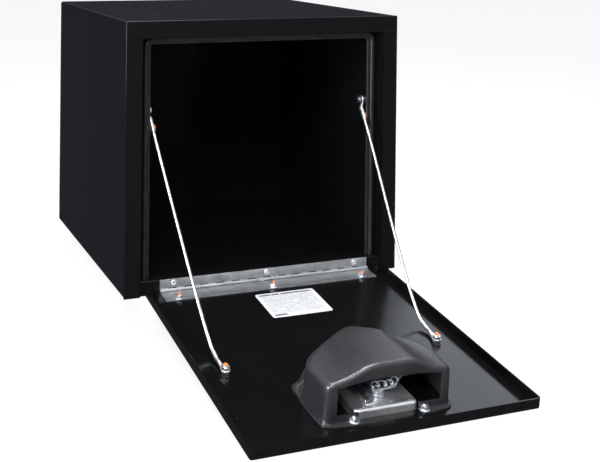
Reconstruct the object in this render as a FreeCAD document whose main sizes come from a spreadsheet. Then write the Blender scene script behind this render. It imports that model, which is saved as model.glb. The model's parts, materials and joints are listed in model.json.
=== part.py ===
import FreeCAD, Part
import os
import Sketcher
import PartDesign  # registers the PartDesign object types
from FreeCAD import Placement, Rotation, Vector

# Underbody truck tool box, open: welded sheet-steel box, drop-down door on a
# continuous hinge, two cable stays, quarter-turn T-handle latch under a
# moulded guard.
# Units mm. Frame: X right (seen from the front), Y to the rear, Z up.
# Origin: centre of the flat bottom of the box. The front plane of the frame is
# Y = -box_depth/2. The door is drawn at rest, dropped open past level.
#
# Door frame: origin on the hinge axis, -Y out along the door, +Z off its inner
# face. Heights on the door are measured from its outer face (see lift), and
# distances along it outward from the hinge axis (see out).

DRIVING = [
    # box shell
    ("box_width", 457.2), ("box_height", 406.4), ("box_depth", 406.4),
    ("shell_gauge", 1.9), ("shell_bend", 4.0),
    # front frame
    ("rail_face", 25.4), ("frame_recess", 18.5), ("post_lip", 17.7), ("rail_lip", 10.2),
    # sill
    ("sill_front", 4.5), ("sill_top", 21.0), ("sill_back", 24.0),
    # hinge axis from the front plane and the bottom, its height above the
    # door's outer face, and the door's angle below level in degrees
    ("axis_back", 1.6), ("axis_up", 5.4), ("axis_rise", 3.3), ("door_droop", 7.587),
    # door pan
    ("door_width", 392.8), ("door_reach", 372.8), ("door_gauge", 1.5),
    ("door_wall", 14.6), ("door_start", 3.2), ("wall_start", 16.5),
    # continuous hinge
    ("hinge_len", 349.25), ("hinge_shift", 3.0), ("leaf_gauge", 1.2), ("knuckle_rad", 2.85),
    ("pin_rad", 1.6), ("pin_clear", 0.05), ("knuckle_count", 27), ("knuckle_gap", 0.25),
    ("box_leaf_top", 21.4), ("box_leaf_low", 8.9), ("door_leaf_end", 28.0),
    ("door_leaf_in", 3.5), ("hinge_screw_pitch", 152.4), ("hinge_screw_up", 15.6),
    ("hinge_bolt_out", 22.0),
    # seal
    ("seal_corner", 5.0),
    # stays
    ("stay_rad", 2.2), ("bracket_side", 190.2), ("anchor_side", 185.5), ("anchor_back", 33.5),
    ("anchor_up", 268.5), ("stay_stud_side", 158.0), ("stay_stud_out", 212.7),
    ("lug_ring_rad", 6.6), ("lug_gauge", 1.5), ("lug_end_side", 159.8), ("lug_end_out", 177.5),
    ("lug_end_rise", 9.4), ("stay_top_side", 180.6), ("stay_top_back", 27.7),
    ("stay_top_up", 255.0),
    # latch dish
    ("dish_half", 44.0), ("dish_in", 258.5), ("dish_out", 337.0), ("dish_rise", 12.0),
    ("dish_gauge", 1.2), ("dish_flange_half", 59.0), ("dish_flange_in", 235.0),
    ("dish_flange_out", 352.0), ("gasket_gauge", 1.0), ("stud_half", 48.6),
    ("stud_out", 343.2), ("stud_in", 241.5), ("stud_rad", 2.5),
    # latch
    ("latch_out", 312.0), ("shaft_rad", 5.0), ("hub_rad", 9.0), ("pawl_reach", 62.0),
    ("pawl_width", 18.0), ("pawl_gauge", 2.5), ("handle_reach", 36.0), ("handle_half", 22.0),
    ("grip_width", 7.5), ("run_clear", 0.05),
    # guard
    ("guard_half", 86.0), ("guard_wall", 3.0), ("guard_front", 341.0), ("guard_side_in", 285.0),
    ("guard_rear", 249.0), ("guard_rear_half", 44.0), ("guard_shoulder", 52.0),
    ("guard_hump", 69.5), ("guard_open_half", 72.0), ("guard_open_top", 48.5),
    # data sticker
    ("sticker_long", 96.0), ("sticker_wide", 66.0), ("sticker_side", 11.5),
    ("sticker_out", 71.3),
]


class Bound:
    """A number that carries the spreadsheet expression it came from."""

    def __init__(self, value, formula):
        self.value = float(value)
        self.formula = formula

    @staticmethod
    def of(number):
        if isinstance(number, Bound):
            return number
        return Bound(number, "(%s)" % repr(float(number)))

    def __add__(self, other):
        other = Bound.of(other)
        return Bound(self.value + other.value, "(%s + %s)" % (self.formula, other.formula))

    def __sub__(self, other):
        other = Bound.of(other)
        return Bound(self.value - other.value, "(%s - %s)" % (self.formula, other.formula))

    def __mul__(self, other):
        other = Bound.of(other)
        return Bound(self.value * other.value, "(%s * %s)" % (self.formula, other.formula))

    def __truediv__(self, other):
        other = Bound.of(other)
        return Bound(self.value / other.value, "(%s / %s)" % (self.formula, other.formula))

    def __neg__(self):
        return Bound(-self.value, "(0 - %s)" % self.formula)

    __radd__ = __add__


class Dims:
    """Holds one Bound per spreadsheet alias."""


doc = FreeCAD.newDocument("truck_tool_box")
sheet = doc.addObject("Spreadsheet::Sheet", "dims")
dims = Dims()
for row, (alias, number) in enumerate(DRIVING, start=2):
    sheet.set("A%d" % row, alias)
    sheet.set("B%d" % row, repr(number))
    sheet.setAlias("B%d" % row, alias)
    setattr(dims, alias, Bound(number, "dims." + alias))
doc.recompute()


# ---------------------------------------------------------------- shared places
SIDES = (("left", -1.0), ("right", 1.0))
HALF_WIDTH = dims.box_width / 2
GAUGE = dims.shell_gauge
FOLD = GAUGE * 0.8                           # outer radius of the frame folds
FRONT = -(dims.box_depth / 2)                # Y of the front plane
OPEN_X = HALF_WIDTH - dims.rail_face         # inner edge of the post faces
RAIL_Z = dims.box_height - dims.rail_face    # lower edge of the top rail face
FLANGE_Y = FRONT + dims.frame_recess         # front face of the recessed flange
LIP_X = OPEN_X - dims.post_lip               # clear opening half width
LIP_Z = RAIL_Z - dims.rail_lip               # clear opening top
SILL_Y = FRONT + dims.sill_front             # front face of the sill
AXIS_Y = FRONT + dims.axis_back              # hinge axis

DOOR_PLACE = Placement(Vector(0, AXIS_Y.value, dims.axis_up.value),
                       Rotation(Vector(1, 0, 0), dims.door_droop.value))


def lift(height):
    """Height above the door's outer face -> z in the door frame."""
    return Bound.of(height) - dims.axis_rise


def out(distance):
    """Distance out from the hinge axis -> y in the door frame."""
    return -Bound.of(distance)


DOOR_HALF = dims.door_width / 2
SHEET = dims.door_gauge
PAST = 1.0                                   # how far a cut runs past the metal
CUT_FROM, CUT_DEPTH = lift(20), 40           # cuts right through the door pan

HINGE_START = dims.hinge_shift - dims.hinge_len / 2
HINGE_X = [dims.hinge_shift + dims.hinge_screw_pitch * k for k in (-1, 0, 1)]
HINGE_BOLTS = [(x, out(dims.hinge_bolt_out)) for x in HINGE_X]
HINGE_HOLE = 2.5                             # radius
STAY_STUDS = [(dims.stay_stud_side * k, out(dims.stay_stud_out)) for k in (-1, 1)]
STAY_BOLT, STAY_HOLE = 3.0, 3.05             # radii
DISH_STUDS = [(dims.stud_half * k, out(distance))
              for k in (-1, 1) for distance in (dims.stud_out, dims.stud_in)]
FOOT_GAUGE = 3.0                             # guard base under the dish nuts


# ---------------------------------------------------------------- pieces
pieces = []          # (object, node name)


def finish(obj, node):
    obj.Label = node
    pieces.append((obj, node))
    return obj


def on_door(obj):
    """Place an object drawn in the door frame."""
    obj.Placement = DOOR_PLACE
    obj.setExpression("Placement.Base.y", AXIS_Y.formula)
    obj.setExpression("Placement.Base.z", "dims.axis_up")
    return obj


def feature(shape, node, placement=None):
    obj = doc.addObject("Part::Feature", node)
    obj.Shape = shape
    if placement is not None:
        obj.Placement = placement
    return finish(obj, node)


# ---------------------------------------------------------------- sketched bodies
def rect(x0, y0, x1, y1):
    return [(x0, y0), (x1, y0), (x1, y1), (x0, y1)]


def holes(spots, radius):
    return [(x, y, radius) for x, y in spots]


def near(number, target):
    return abs(number - Bound.of(target).value) < 0.01


def pin_point(sketch, geometry, point, x, y):
    """Fix a point of a sketch geometry at (x, y) with bound dimensions."""
    for kind, place, axis in (("DistanceX", x, -2), ("DistanceY", y, -1)):
        if abs(place.value) < 1e-9:
            sketch.addConstraint(Sketcher.Constraint("PointOnObject", geometry, point, axis))
        elif place.value > 0:
            index = sketch.addConstraint(
                Sketcher.Constraint(kind, -1, 1, geometry, point, place.value))
            sketch.setExpression("Constraints[%d]" % index, place.formula)
        else:
            index = sketch.addConstraint(
                Sketcher.Constraint(kind, geometry, point, -1, 1, -place.value))
            sketch.setExpression("Constraints[%d]" % index, "0 - %s" % place.formula)


class Chord:
    """Middle (x, y, z), axis it runs along and change in z of an edge's chord."""

    def __init__(self, edge):
        start, end = [vertex.Point for vertex in edge.Vertexes]
        span = end - start
        middle = (start + end) * 0.5
        self.x, self.y, self.z = middle.x, middle.y, middle.z
        self.rise = abs(span.z)
        self.axis = ""
        if span.Length > 1e-6:
            for name, part in (("x", span.x), ("y", span.y), ("z", span.z)):
                if abs(abs(part) / span.Length - 1) < 1e-6:
                    self.axis = name


class Piece:
    """A PartDesign body built up feature by feature from bound sketches."""

    def __init__(self, name):
        self.body = doc.addObject("PartDesign::Body", name)
        self.last = None

    def origin(self, role):
        return [item for item in self.body.Origin.OriginFeatures if item.Role == role][0]

    def sketch(self, name, plane, offset):
        sketch = self.body.newObject("Sketcher::SketchObject", name)
        sketch.AttachmentSupport = [(self.origin(plane + "_Plane"), "")]
        sketch.MapMode = "FlatFace"
        offset = Bound.of(offset)
        sketch.AttachmentOffset = Placement(Vector(0, 0, offset.value), Rotation())
        sketch.setExpression("AttachmentOffset.Base.z", offset.formula)
        return sketch

    def polygon(self, name, plane, offset, *loops):
        """Sketch of closed loops of (x, y). The XZ plane's normal is -Y."""
        sketch = self.sketch(name, plane, offset)
        for loop in loops:
            points = [(Bound.of(x), Bound.of(y)) for x, y in loop]
            base = sketch.GeometryCount
            count = len(points)
            for i in range(count):
                ends = [Vector(x.value, y.value, 0)
                        for x, y in (points[i], points[(i + 1) % count])]
                sketch.addGeometry(Part.LineSegment(*ends), False)
            for i in range(count):
                sketch.addConstraint(Sketcher.Constraint(
                    "Coincident", base + i, 2, base + (i + 1) % count, 1))
            for i in range(count):
                pin_point(sketch, base + i, 1, *points[i])
        return sketch

    def circles(self, name, plane, offset, rows):
        """Sketch of circles given as (x, y, radius)."""
        sketch = self.sketch(name, plane, offset)
        for circle in rows:
            x, y, radius = [Bound.of(number) for number in circle]
            index = sketch.addGeometry(
                Part.Circle(Vector(x.value, y.value, 0), Vector(0, 0, 1), radius.value), False)
            row = sketch.addConstraint(Sketcher.Constraint("Radius", index, radius.value))
            sketch.setExpression("Constraints[%d]" % row, radius.formula)
            pin_point(sketch, index, 3, x, y)
        return sketch

    def volume(self):
        shape = self.body.Shape
        return 0.0 if shape.isNull() else shape.Volume

    def extrude(self, kind, sketch, length, name, flip):
        before = self.volume()
        length = Bound.of(length)
        made = self.body.newObject("PartDesign::" + kind, name)
        made.Profile = sketch
        made.Length = length.value
        made.setExpression("Length", length.formula)
        made.Reversed = flip
        sketch.Visibility = False
        doc.recompute()
        gain = self.volume() - before
        if not (gain if kind == "Pad" else -gain) > 1e-6:
            raise RuntimeError("%s changed nothing: %s" % (kind, name))
        self.last = made
        return made

    def pad(self, sketch, length, name, flip=False):
        return self.extrude("Pad", sketch, length, name, flip)

    def pocket(self, sketch, length, name, flip=False):
        return self.extrude("Pocket", sketch, length, name, flip)

    def fillet(self, radius, name, chosen):
        """Round the edges of the last feature whose Chord passes the test."""
        names = ["Edge%d" % number
                 for number, edge in enumerate(self.last.Shape.Edges, start=1)
                 if len(edge.Vertexes) == 2 and chosen(Chord(edge))]
        if not names:
            raise RuntimeError("no edges for " + name)
        radius = Bound.of(radius)
        made = self.body.newObject("PartDesign::Fillet", name)
        made.Base = (self.last, names)
        made.Radius = radius.value
        made.setExpression("Radius", radius.formula)
        doc.recompute()
        if "Invalid" in made.State or "Error" in made.State:
            raise RuntimeError("fillet failed " + name)
        self.last = made

    def pattern(self, originals, length, count, name):
        """Repeat features along X."""
        made = self.body.newObject("PartDesign::LinearPattern", name)
        made.Originals = originals
        made.Direction = (self.origin("X_Axis"), [""])
        made.Length = length.value
        made.Occurrences = count
        made.setExpression("Length", length.formula)
        self.body.Tip = made
        doc.recompute()
        self.last = made

    def finish(self, node):
        return finish(self.body, node)


# ---------------------------------------------------------------- bound primitives
TURN = {"z": Rotation(), "-z": Rotation(Vector(1, 0, 0), 180),
        "x": Rotation(Vector(0, 1, 0), 90), "-x": Rotation(Vector(0, 1, 0), -90),
        "y": Rotation(Vector(1, 0, 0), -90), "-y": Rotation(Vector(1, 0, 0), 90)}
HEX_RADIUS = 0.57735         # circumradius of a hexagon over its width across flats


def primitive(kind, name, sizes, position, rotation):
    obj = doc.addObject("Part::" + kind, name)
    for prop, size in sizes.items():
        obj.setExpression(prop, Bound.of(size).formula)
    x, y, z = [Bound.of(number) for number in position]
    obj.Placement = Placement(Vector(x.value, y.value, z.value), rotation)
    for prop, place in (("x", x), ("y", y), ("z", z)):
        obj.setExpression("Placement.Base." + prop, place.formula)
    return obj


def cylinder(radius, length, position, axis="z"):
    sizes = {"Radius": radius, "Height": length}
    return primitive("Cylinder", "cyl", sizes, position, TURN[axis])


def cone(radius, end_radius, length, position, axis="z"):
    sizes = {"Radius1": radius, "Radius2": end_radius, "Height": length}
    return primitive("Cone", "cone", sizes, position, TURN[axis])


def hexagon(flats, length, position, axis, spin):
    sizes = {"Circumradius": Bound.of(flats) * HEX_RADIUS, "Height": length}
    rotation = TURN[axis].multiply(Rotation(Vector(0, 0, 1), spin))
    obj = primitive("Prism", "hex", sizes, position, rotation)
    obj.Polygon = 6
    return obj


def block(length, width, height, position):
    sizes = {"Length": length, "Width": width, "Height": height}
    return primitive("Box", "box", sizes, position, Rotation())


def cut(base, tool):
    obj = doc.addObject("Part::Cut", "cut")
    obj.Base = base
    obj.Tool = tool
    return obj


def fuse(*items):
    obj = doc.addObject("Part::MultiFuse", "fuse")
    obj.Shapes = list(items)
    return obj


def group(items, node):
    obj = doc.addObject("Part::Compound", "grp")
    obj.Links = list(items)
    return finish(obj, node)


def nut(flats, bore, length, position, axis="z", spin=0.0):
    return cut(hexagon(flats, length, position, axis, spin),
               cylinder(bore, length, position, axis))


def door_bolt(head, radius, length, spot):
    """Bolt through the door with its tapered head on the outer face."""
    position = (*spot, lift(0))
    return fuse(cone(*head, position, "-z"), cylinder(radius, length, position))


# ---------------------------------------------------------------- box shell
def build_wrap():
    """Sides, top and bottom of the box; its front edge is one gauge back."""
    wrap = Piece("wrap_body")
    inner_x, inner_top = HALF_WIDTH - GAUGE, dims.box_height - GAUGE
    outline = wrap.polygon("wrap_outline", "XZ", -FRONT - GAUGE,
                           rect(-HALF_WIDTH, 0, HALF_WIDTH, dims.box_height),
                           rect(-HALF_WIDTH + GAUGE, GAUGE, inner_x, inner_top))
    wrap.pad(outline, dims.box_depth - GAUGE * 2, "wrap_sheet", flip=True)
    wrap.fillet(dims.shell_bend, "wrap_bends",
                lambda edge: edge.axis == "y" and near(abs(edge.x), HALF_WIDTH))
    wrap.fillet(dims.shell_bend - GAUGE, "wrap_bends_inside",
                lambda edge: edge.axis == "y" and near(abs(edge.x), inner_x)
                and (near(edge.z, GAUGE) or near(edge.z, inner_top)))
    notch = wrap.polygon("floor_notch", "XY", 0, rect(-OPEN_X, FRONT, OPEN_X, SILL_Y))
    wrap.pocket(notch, GAUGE + PAST, "floor_notch_cut", flip=True)
    wrap.finish("wrap")


def build_back():
    back = Piece("back_body")
    outline = back.polygon("back_outline", "XZ", -(dims.box_depth / 2),
                           rect(-HALF_WIDTH, 0, HALF_WIDTH, dims.box_height))
    back.pad(outline, GAUGE, "back_sheet")
    back.fillet(dims.shell_bend, "back_corners", lambda edge: edge.axis == "y")
    back.finish("back_panel")


def build_post(side, sign):
    post = Piece("post_%s_body" % side)
    face = post.polygon("post_face", "XY", 0,
                        rect(OPEN_X * sign, FRONT, HALF_WIDTH * sign, FRONT + GAUGE))
    post.pad(face, RAIL_Z, "post_face_sheet")
    post.fillet(FOLD, "post_bend",
                lambda edge: edge.axis == "z" and near(abs(edge.x), HALF_WIDTH)
                and near(edge.y, FRONT))
    recess = post.polygon("post_recess", "XY", GAUGE,
                          rect(OPEN_X * sign, FRONT + GAUGE,
                               (OPEN_X + GAUGE) * sign, FLANGE_Y + GAUGE))
    post.pad(recess, RAIL_Z - GAUGE, "post_recess_sheet")
    flange = post.polygon("post_flange", "XY", dims.sill_top,
                          rect(LIP_X * sign, FLANGE_Y, OPEN_X * sign, FLANGE_Y + GAUGE))
    post.pad(flange, RAIL_Z - dims.sill_top, "post_flange_sheet")
    post.finish("post_" + side)


def build_rail():
    rail = Piece("rail_body")
    face = rail.polygon("rail_face_outline", "XZ", -FRONT,
                        rect(-HALF_WIDTH, RAIL_Z, HALF_WIDTH, dims.box_height))
    rail.pad(face, GAUGE, "rail_face_sheet", flip=True)
    rail.fillet(FOLD, "rail_bends",
                lambda edge: near(edge.y, FRONT) and (edge.axis == "z" or (
                    edge.axis == "x" and near(edge.z, dims.box_height))))
    recess = rail.polygon("rail_recess", "XY", RAIL_Z,
                          rect(-OPEN_X - GAUGE, FRONT + GAUGE,
                               OPEN_X + GAUGE, FLANGE_Y + GAUGE))
    rail.pad(recess, GAUGE, "rail_recess_sheet")
    flange = rail.polygon("rail_flange", "XY", LIP_Z,
                          rect(-LIP_X, FLANGE_Y, LIP_X, FLANGE_Y + GAUGE))
    rail.pad(flange, dims.rail_lip, "rail_flange_sheet")
    rail.finish("top_rail")


def build_sill():
    sill = Piece("sill_body")
    face = sill.polygon("sill_face", "XY", GAUGE,
                        rect(-OPEN_X, SILL_Y, OPEN_X, SILL_Y + GAUGE))
    sill.pad(face, dims.sill_top - GAUGE, "sill_face_sheet")
    cap = sill.polygon("sill_cap", "XY", dims.sill_top - GAUGE,
                       rect(-OPEN_X, SILL_Y + GAUGE, OPEN_X, FRONT + dims.sill_back))
    sill.pad(cap, GAUGE, "sill_cap_sheet")
    sill.fillet(FOLD, "sill_bend",
                lambda edge: edge.axis == "x" and near(edge.y, SILL_Y)
                and near(edge.z, dims.sill_top))
    sill.finish("sill")


build_wrap()
build_back()
for side, sign in SIDES:
    build_post(side, sign)
build_rail()
build_sill()

# ---------------------------------------------------------------- door seal
SEAL_FOOT_GAP = 0.15         # seal ends above the sill
# edge trim with a bulb: (outward from the flange edge, behind the flange's front face)
SEAL_PROFILE = [
    (-1.2, 3.1), (-1.2, -1.2), (3.4, -1.2), (3.9, -3.6), (5.0, -5.0), (6.7, -5.5), (8.4, -5.0),
    (9.5, -3.6), (9.8, -1.8), (9.3, 0.0), (0.0, 0.0), (0.0, 1.9), (4.5, 1.9), (4.5, 3.1),
]


def seal_section(locate):
    points = [locate(outward, FLANGE_Y.value + behind) for outward, behind in SEAL_PROFILE]
    return Part.Face(Part.makePolygon(points + points[:1]))


def build_seal():
    """Straight runs up both sides and over the top, joined by quarter turns."""
    edge_x, edge_z = LIP_X.value, LIP_Z.value
    foot = dims.sill_top.value + SEAL_FOOT_GAP
    corner = dims.seal_corner.value
    turn_x, turn_z = edge_x - corner, edge_z - corner
    runs = []
    for _, sign in SIDES:
        section = seal_section(lambda u, y: Vector(sign * (edge_x + u), y, foot))
        runs.append(section.extrude(Vector(0, 0, turn_z - foot)))
    section = seal_section(lambda u, y: Vector(-turn_x, y, edge_z + u))
    runs.append(section.extrude(Vector(2 * turn_x, 0, 0)))
    for _, sign in SIDES:
        section = seal_section(lambda u, y: Vector(sign * (edge_x + u), y, turn_z))
        centre = Vector(sign * turn_x, 0, turn_z)
        runs.append(section.revolve(centre, Vector(0, 1, 0), -90 * sign))
    seal = runs[0].multiFuse(runs[1:]).removeSplitter()
    feature(seal.Solids[0] if len(seal.Solids) == 1 else seal, "door_seal")


build_seal()

# ---------------------------------------------------------------- continuous hinge
PITCH = dims.hinge_len / dims.knuckle_count
KNUCKLE_COUNT = int(dims.knuckle_count.value)
HALF_GAP = dims.knuckle_gap / 2
PIN_FIT = 0.01               # bore over pin radius in the fixed leaf
SILL_SCREW_HOLE = 2.1        # radius in the box leaf
SILL_SCREW = 2.0             # radius
SILL_SCREW_HEAD = (4.3, 2.2, 1.5)    # radius at the leaf, radius at the crown, height


def add_knuckles(leaf, web, axis, start, count, bore):
    """Webs from the leaf, rolled round the pin at every second pitch, then bored."""
    length = PITCH - dims.knuckle_gap
    sketch = leaf.polygon("knuckle_web", "YZ", start, web)
    web_pad = leaf.pad(sketch, length, "knuckle_web_sheet")
    sketch = leaf.circles("knuckle_roll", "YZ", start, [(*axis, dims.knuckle_rad)])
    roll_pad = leaf.pad(sketch, length, "knuckle_roll_solid")
    leaf.pattern([web_pad, roll_pad], PITCH * 2 * (count - 1), count, "knuckle_row")
    sketch = leaf.circles("pin_bore", "YZ", HINGE_START - PAST, [(*axis, bore)])
    leaf.pocket(sketch, dims.hinge_len + 2 * PAST, "pin_bore_cut", flip=True)


def build_box_leaf():
    leaf = Piece("box_leaf_body")
    face = SILL_Y - dims.leaf_gauge
    plate = leaf.polygon("leaf_plate", "YZ", HINGE_START,
                         rect(face, dims.box_leaf_low, SILL_Y, dims.box_leaf_top))
    leaf.pad(plate, dims.hinge_len, "leaf_plate_sheet")
    add_knuckles(leaf, rect(face, dims.axis_up, SILL_Y, dims.box_leaf_low),
                 axis=(AXIS_Y, dims.axis_up), start=HINGE_START + HALF_GAP,
                 count=(KNUCKLE_COUNT + 1) // 2, bore=dims.pin_rad + PIN_FIT)
    spots = [(x, dims.hinge_screw_up) for x in HINGE_X]
    sketch = leaf.circles("leaf_holes", "XZ", -SILL_Y + 5, holes(spots, SILL_SCREW_HOLE))
    leaf.pocket(sketch, 10, "leaf_holes_cut")
    leaf.finish("hinge_box_leaf")


def build_door_leaf():
    leaf = Piece("door_leaf_body")
    low, high = lift(SHEET), lift(SHEET + dims.leaf_gauge)
    plate = leaf.polygon("leaf_plate", "YZ", HINGE_START,
                         rect(out(dims.door_leaf_end), low, out(dims.door_leaf_in), high))
    leaf.pad(plate, dims.hinge_len, "leaf_plate_sheet")
    add_knuckles(leaf, rect(out(dims.door_leaf_in), low, 0, high),
                 axis=(0, 0), start=HINGE_START + PITCH + HALF_GAP,
                 count=KNUCKLE_COUNT // 2, bore=dims.pin_rad + dims.pin_clear)
    sketch = leaf.circles("leaf_holes", "XY", 5, holes(HINGE_BOLTS, HINGE_HOLE))
    leaf.pocket(sketch, 20, "leaf_holes_cut")
    on_door(leaf.finish("hinge_door_leaf"))


def build_hinge_pin():
    pin = cylinder(dims.pin_rad, dims.hinge_len, (HINGE_START, AXIS_Y, dims.axis_up), "x")
    finish(pin, "hinge_pin")


def build_hinge_screws():
    """Truss-head screws into the sill."""
    screws = []
    for x in HINGE_X:
        position = (x, SILL_Y - dims.leaf_gauge, dims.hinge_screw_up)
        screws.append(fuse(cone(*SILL_SCREW_HEAD, position, "-y"),
                           cylinder(SILL_SCREW, dims.leaf_gauge, position, "y")))
    group(screws, "hinge_screws")


build_box_leaf()
build_door_leaf()
build_hinge_pin()
build_hinge_screws()

# ---------------------------------------------------------------- door pan
DOOR_CORNER, DOOR_EDGE = 3.5, 2.2    # radii
TAB_LONG = 11                # folded end tab, along X
TAB_SHORT = 1.5              # tab stops this far below the wall's top
DISH_GAP = 0.5               # clearance round the latch dish
STUD_CLEAR = 0.2             # door hole over stud radius
HOLLOW_END = 5               # hollow is open past the hinge edge


def dish_rect(half, outer, inner, grow=0):
    """Door-plan rectangle about the latch, grown on every side."""
    return rect(-half - grow, out(outer + grow), half + grow, out(inner - grow))


def build_door():
    door = Piece("door_body")
    outline = door.polygon("door_outline", "XY", lift(0),
                           rect(-DOOR_HALF, out(dims.door_reach),
                                DOOR_HALF, out(dims.door_start)))
    door.pad(outline, dims.door_wall, "door_block")
    door.fillet(DOOR_CORNER, "door_corner_rounds",
                lambda edge: edge.axis == "z" and near(edge.y, out(dims.door_reach)))
    # outer-face edges, all but the hinge edge
    door.fillet(DOOR_EDGE, "door_edge_bends",
                lambda edge: near(edge.z, lift(0)) and edge.rise < 1e-6
                and not (edge.axis == "x" and near(edge.y, out(dims.door_start))))
    inner = DOOR_HALF - SHEET
    hollow = door.polygon("door_hollow", "XY", lift(SHEET),
                          rect(-DOOR_HALF + SHEET, out(dims.door_reach - SHEET),
                               inner, HOLLOW_END))
    door.pocket(hollow, dims.door_wall, "door_hollow_cut", flip=True)
    # side walls stop short of the hinge line
    relief = door.polygon("wall_relief", "XY", lift(SHEET),
                          rect(-DOOR_HALF - PAST, out(dims.wall_start),
                               DOOR_HALF + PAST, HOLLOW_END))
    door.pocket(relief, dims.door_wall + PAST, "wall_relief_cut", flip=True)
    for _, sign in SIDES:
        tab = door.polygon("end_tab%d" % (sign + 1), "XY", lift(SHEET),
                           rect(inner * sign, out(dims.wall_start + SHEET),
                                (inner - TAB_LONG) * sign, out(dims.wall_start)))
        door.pad(tab, dims.door_wall - SHEET - TAB_SHORT, "end_tab_sheet%d" % (sign + 1))
    window = door.polygon("latch_window", "XY", CUT_FROM,
                          dish_rect(dims.dish_half, dims.dish_out, dims.dish_in, DISH_GAP))
    door.pocket(window, CUT_DEPTH, "latch_window_cut")
    rows = holes(DISH_STUDS, dims.stud_rad + STUD_CLEAR)
    rows += holes(STAY_STUDS, STAY_HOLE)
    rows += holes(HINGE_BOLTS, HINGE_HOLE)
    door.pocket(door.circles("door_holes", "XY", CUT_FROM, rows), CUT_DEPTH,
                "door_holes_cut")
    on_door(door.finish("door_pan"))


build_door()

# ---------------------------------------------------------------- door fasteners
# heads: radius at the door, radius at the crown, height
HINGE_HEAD, STAY_HEAD = (4.6, 3.0, 1.6), (6.0, 4.2, 2.0)
HINGE_BOLT = 2.4             # radius
HINGE_NUT = {"flats": 8.0, "bore": 2.45, "length": 4.0, "spin": 12.0}
HINGE_STACK = SHEET + dims.leaf_gauge
HINGE_BOLT_LEN = HINGE_STACK + HINGE_NUT["length"] + 1.0
STAY_NUT = {"flats": 10.0, "bore": 3.02}
STAY_NUT_HIGH, STAY_BASE_NUT_HIGH = 4.2, 4.0
STAY_STUD_LEN = 12.4
LUG_RISE = SHEET + STAY_BASE_NUT_HIGH        # underside of the lower lug
PATCH_LEN = 2.4              # thread patch beyond the shank


def build_door_fasteners():
    bolts = [door_bolt(HINGE_HEAD, HINGE_BOLT, HINGE_BOLT_LEN, spot) for spot in HINGE_BOLTS]
    nuts = [nut(position=(*spot, lift(HINGE_STACK)), **HINGE_NUT) for spot in HINGE_BOLTS]
    on_door(group(bolts, "hinge_bolts"))
    on_door(group(nuts, "hinge_nuts"))

    studs = [door_bolt(STAY_HEAD, STAY_BOLT, STAY_STUD_LEN, spot) for spot in STAY_STUDS]
    nuts = []
    for spot in STAY_STUDS:
        nuts.append(nut(length=STAY_BASE_NUT_HIGH, position=(*spot, lift(SHEET)),
                        spin=8.0, **STAY_NUT))
        nuts.append(nut(length=STAY_NUT_HIGH, position=(*spot, lift(LUG_RISE + dims.lug_gauge)),
                        spin=21.0, **STAY_NUT))
    on_door(group(studs, "stay_studs"))
    on_door(group(nuts, "stay_nuts"))

    patches = [cylinder(HINGE_BOLT, PATCH_LEN, (*spot, lift(HINGE_BOLT_LEN)))
               for spot in HINGE_BOLTS]
    patches += [cylinder(STAY_BOLT, PATCH_LEN, (*spot, lift(STAY_STUD_LEN)))
                for spot in STAY_STUDS]
    on_door(group(patches, "thread_patches"))


build_door_fasteners()

# ---------------------------------------------------------------- stay brackets and anchors
BRACKET_GAUGE = 2.5
BRACKET_BELOW, BRACKET_ABOVE = 18, 16        # from the anchor axis
BRACKET_DEEP = 24
BRACKET_FOOT = 12            # outer end of the foot from bracket_side
BRACKET_ROUND = 8
ANCHOR = (FRONT + dims.anchor_back, dims.anchor_up)          # y, z
BRACKET_OUT = dims.bracket_side + BRACKET_GAUGE              # outer face of the leg
ANCHOR_LUG = dims.anchor_side - 1.0          # outer face of the upper lug
ANCHOR_TIP = dims.anchor_side - 7.3          # inner end of the bolt shank
ANCHOR_HEAD, ANCHOR_HEAD_HIGH = 5.2, 2.6     # radius (also the spacer's), height
ANCHOR_PATCH_LEN = 2.2


def build_bracket(side, sign):
    """Leg and foot welded behind the flange, bored for the anchor bolt."""
    bracket = Piece("bracket_%s_body" % side)
    low, high = dims.anchor_up - BRACKET_BELOW, dims.anchor_up + BRACKET_ABOVE
    weld_y = FLANGE_Y + GAUGE
    leg = bracket.polygon("bracket_leg", "XZ", -weld_y,
                          rect(dims.bracket_side * sign, low, BRACKET_OUT * sign, high))
    bracket.pad(leg, BRACKET_DEEP, "bracket_leg_plate", flip=True)
    foot = bracket.polygon("bracket_foot", "XZ", -weld_y,
                           rect(BRACKET_OUT * sign, low,
                                (dims.bracket_side + BRACKET_FOOT) * sign, high))
    bracket.pad(foot, BRACKET_GAUGE, "bracket_foot_plate", flip=True)
    bracket.fillet(BRACKET_ROUND, "bracket_round",
                   lambda edge: edge.axis == "x" and near(edge.y, weld_y + BRACKET_DEEP))
    hole = bracket.circles("anchor_hole", "YZ", (BRACKET_OUT + PAST) * sign,
                           [(*ANCHOR, STAY_HOLE)])
    bracket.pocket(hole, 6, "anchor_hole_cut", flip=(sign < 0))
    bracket.finish("stay_bracket_" + side)


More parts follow.
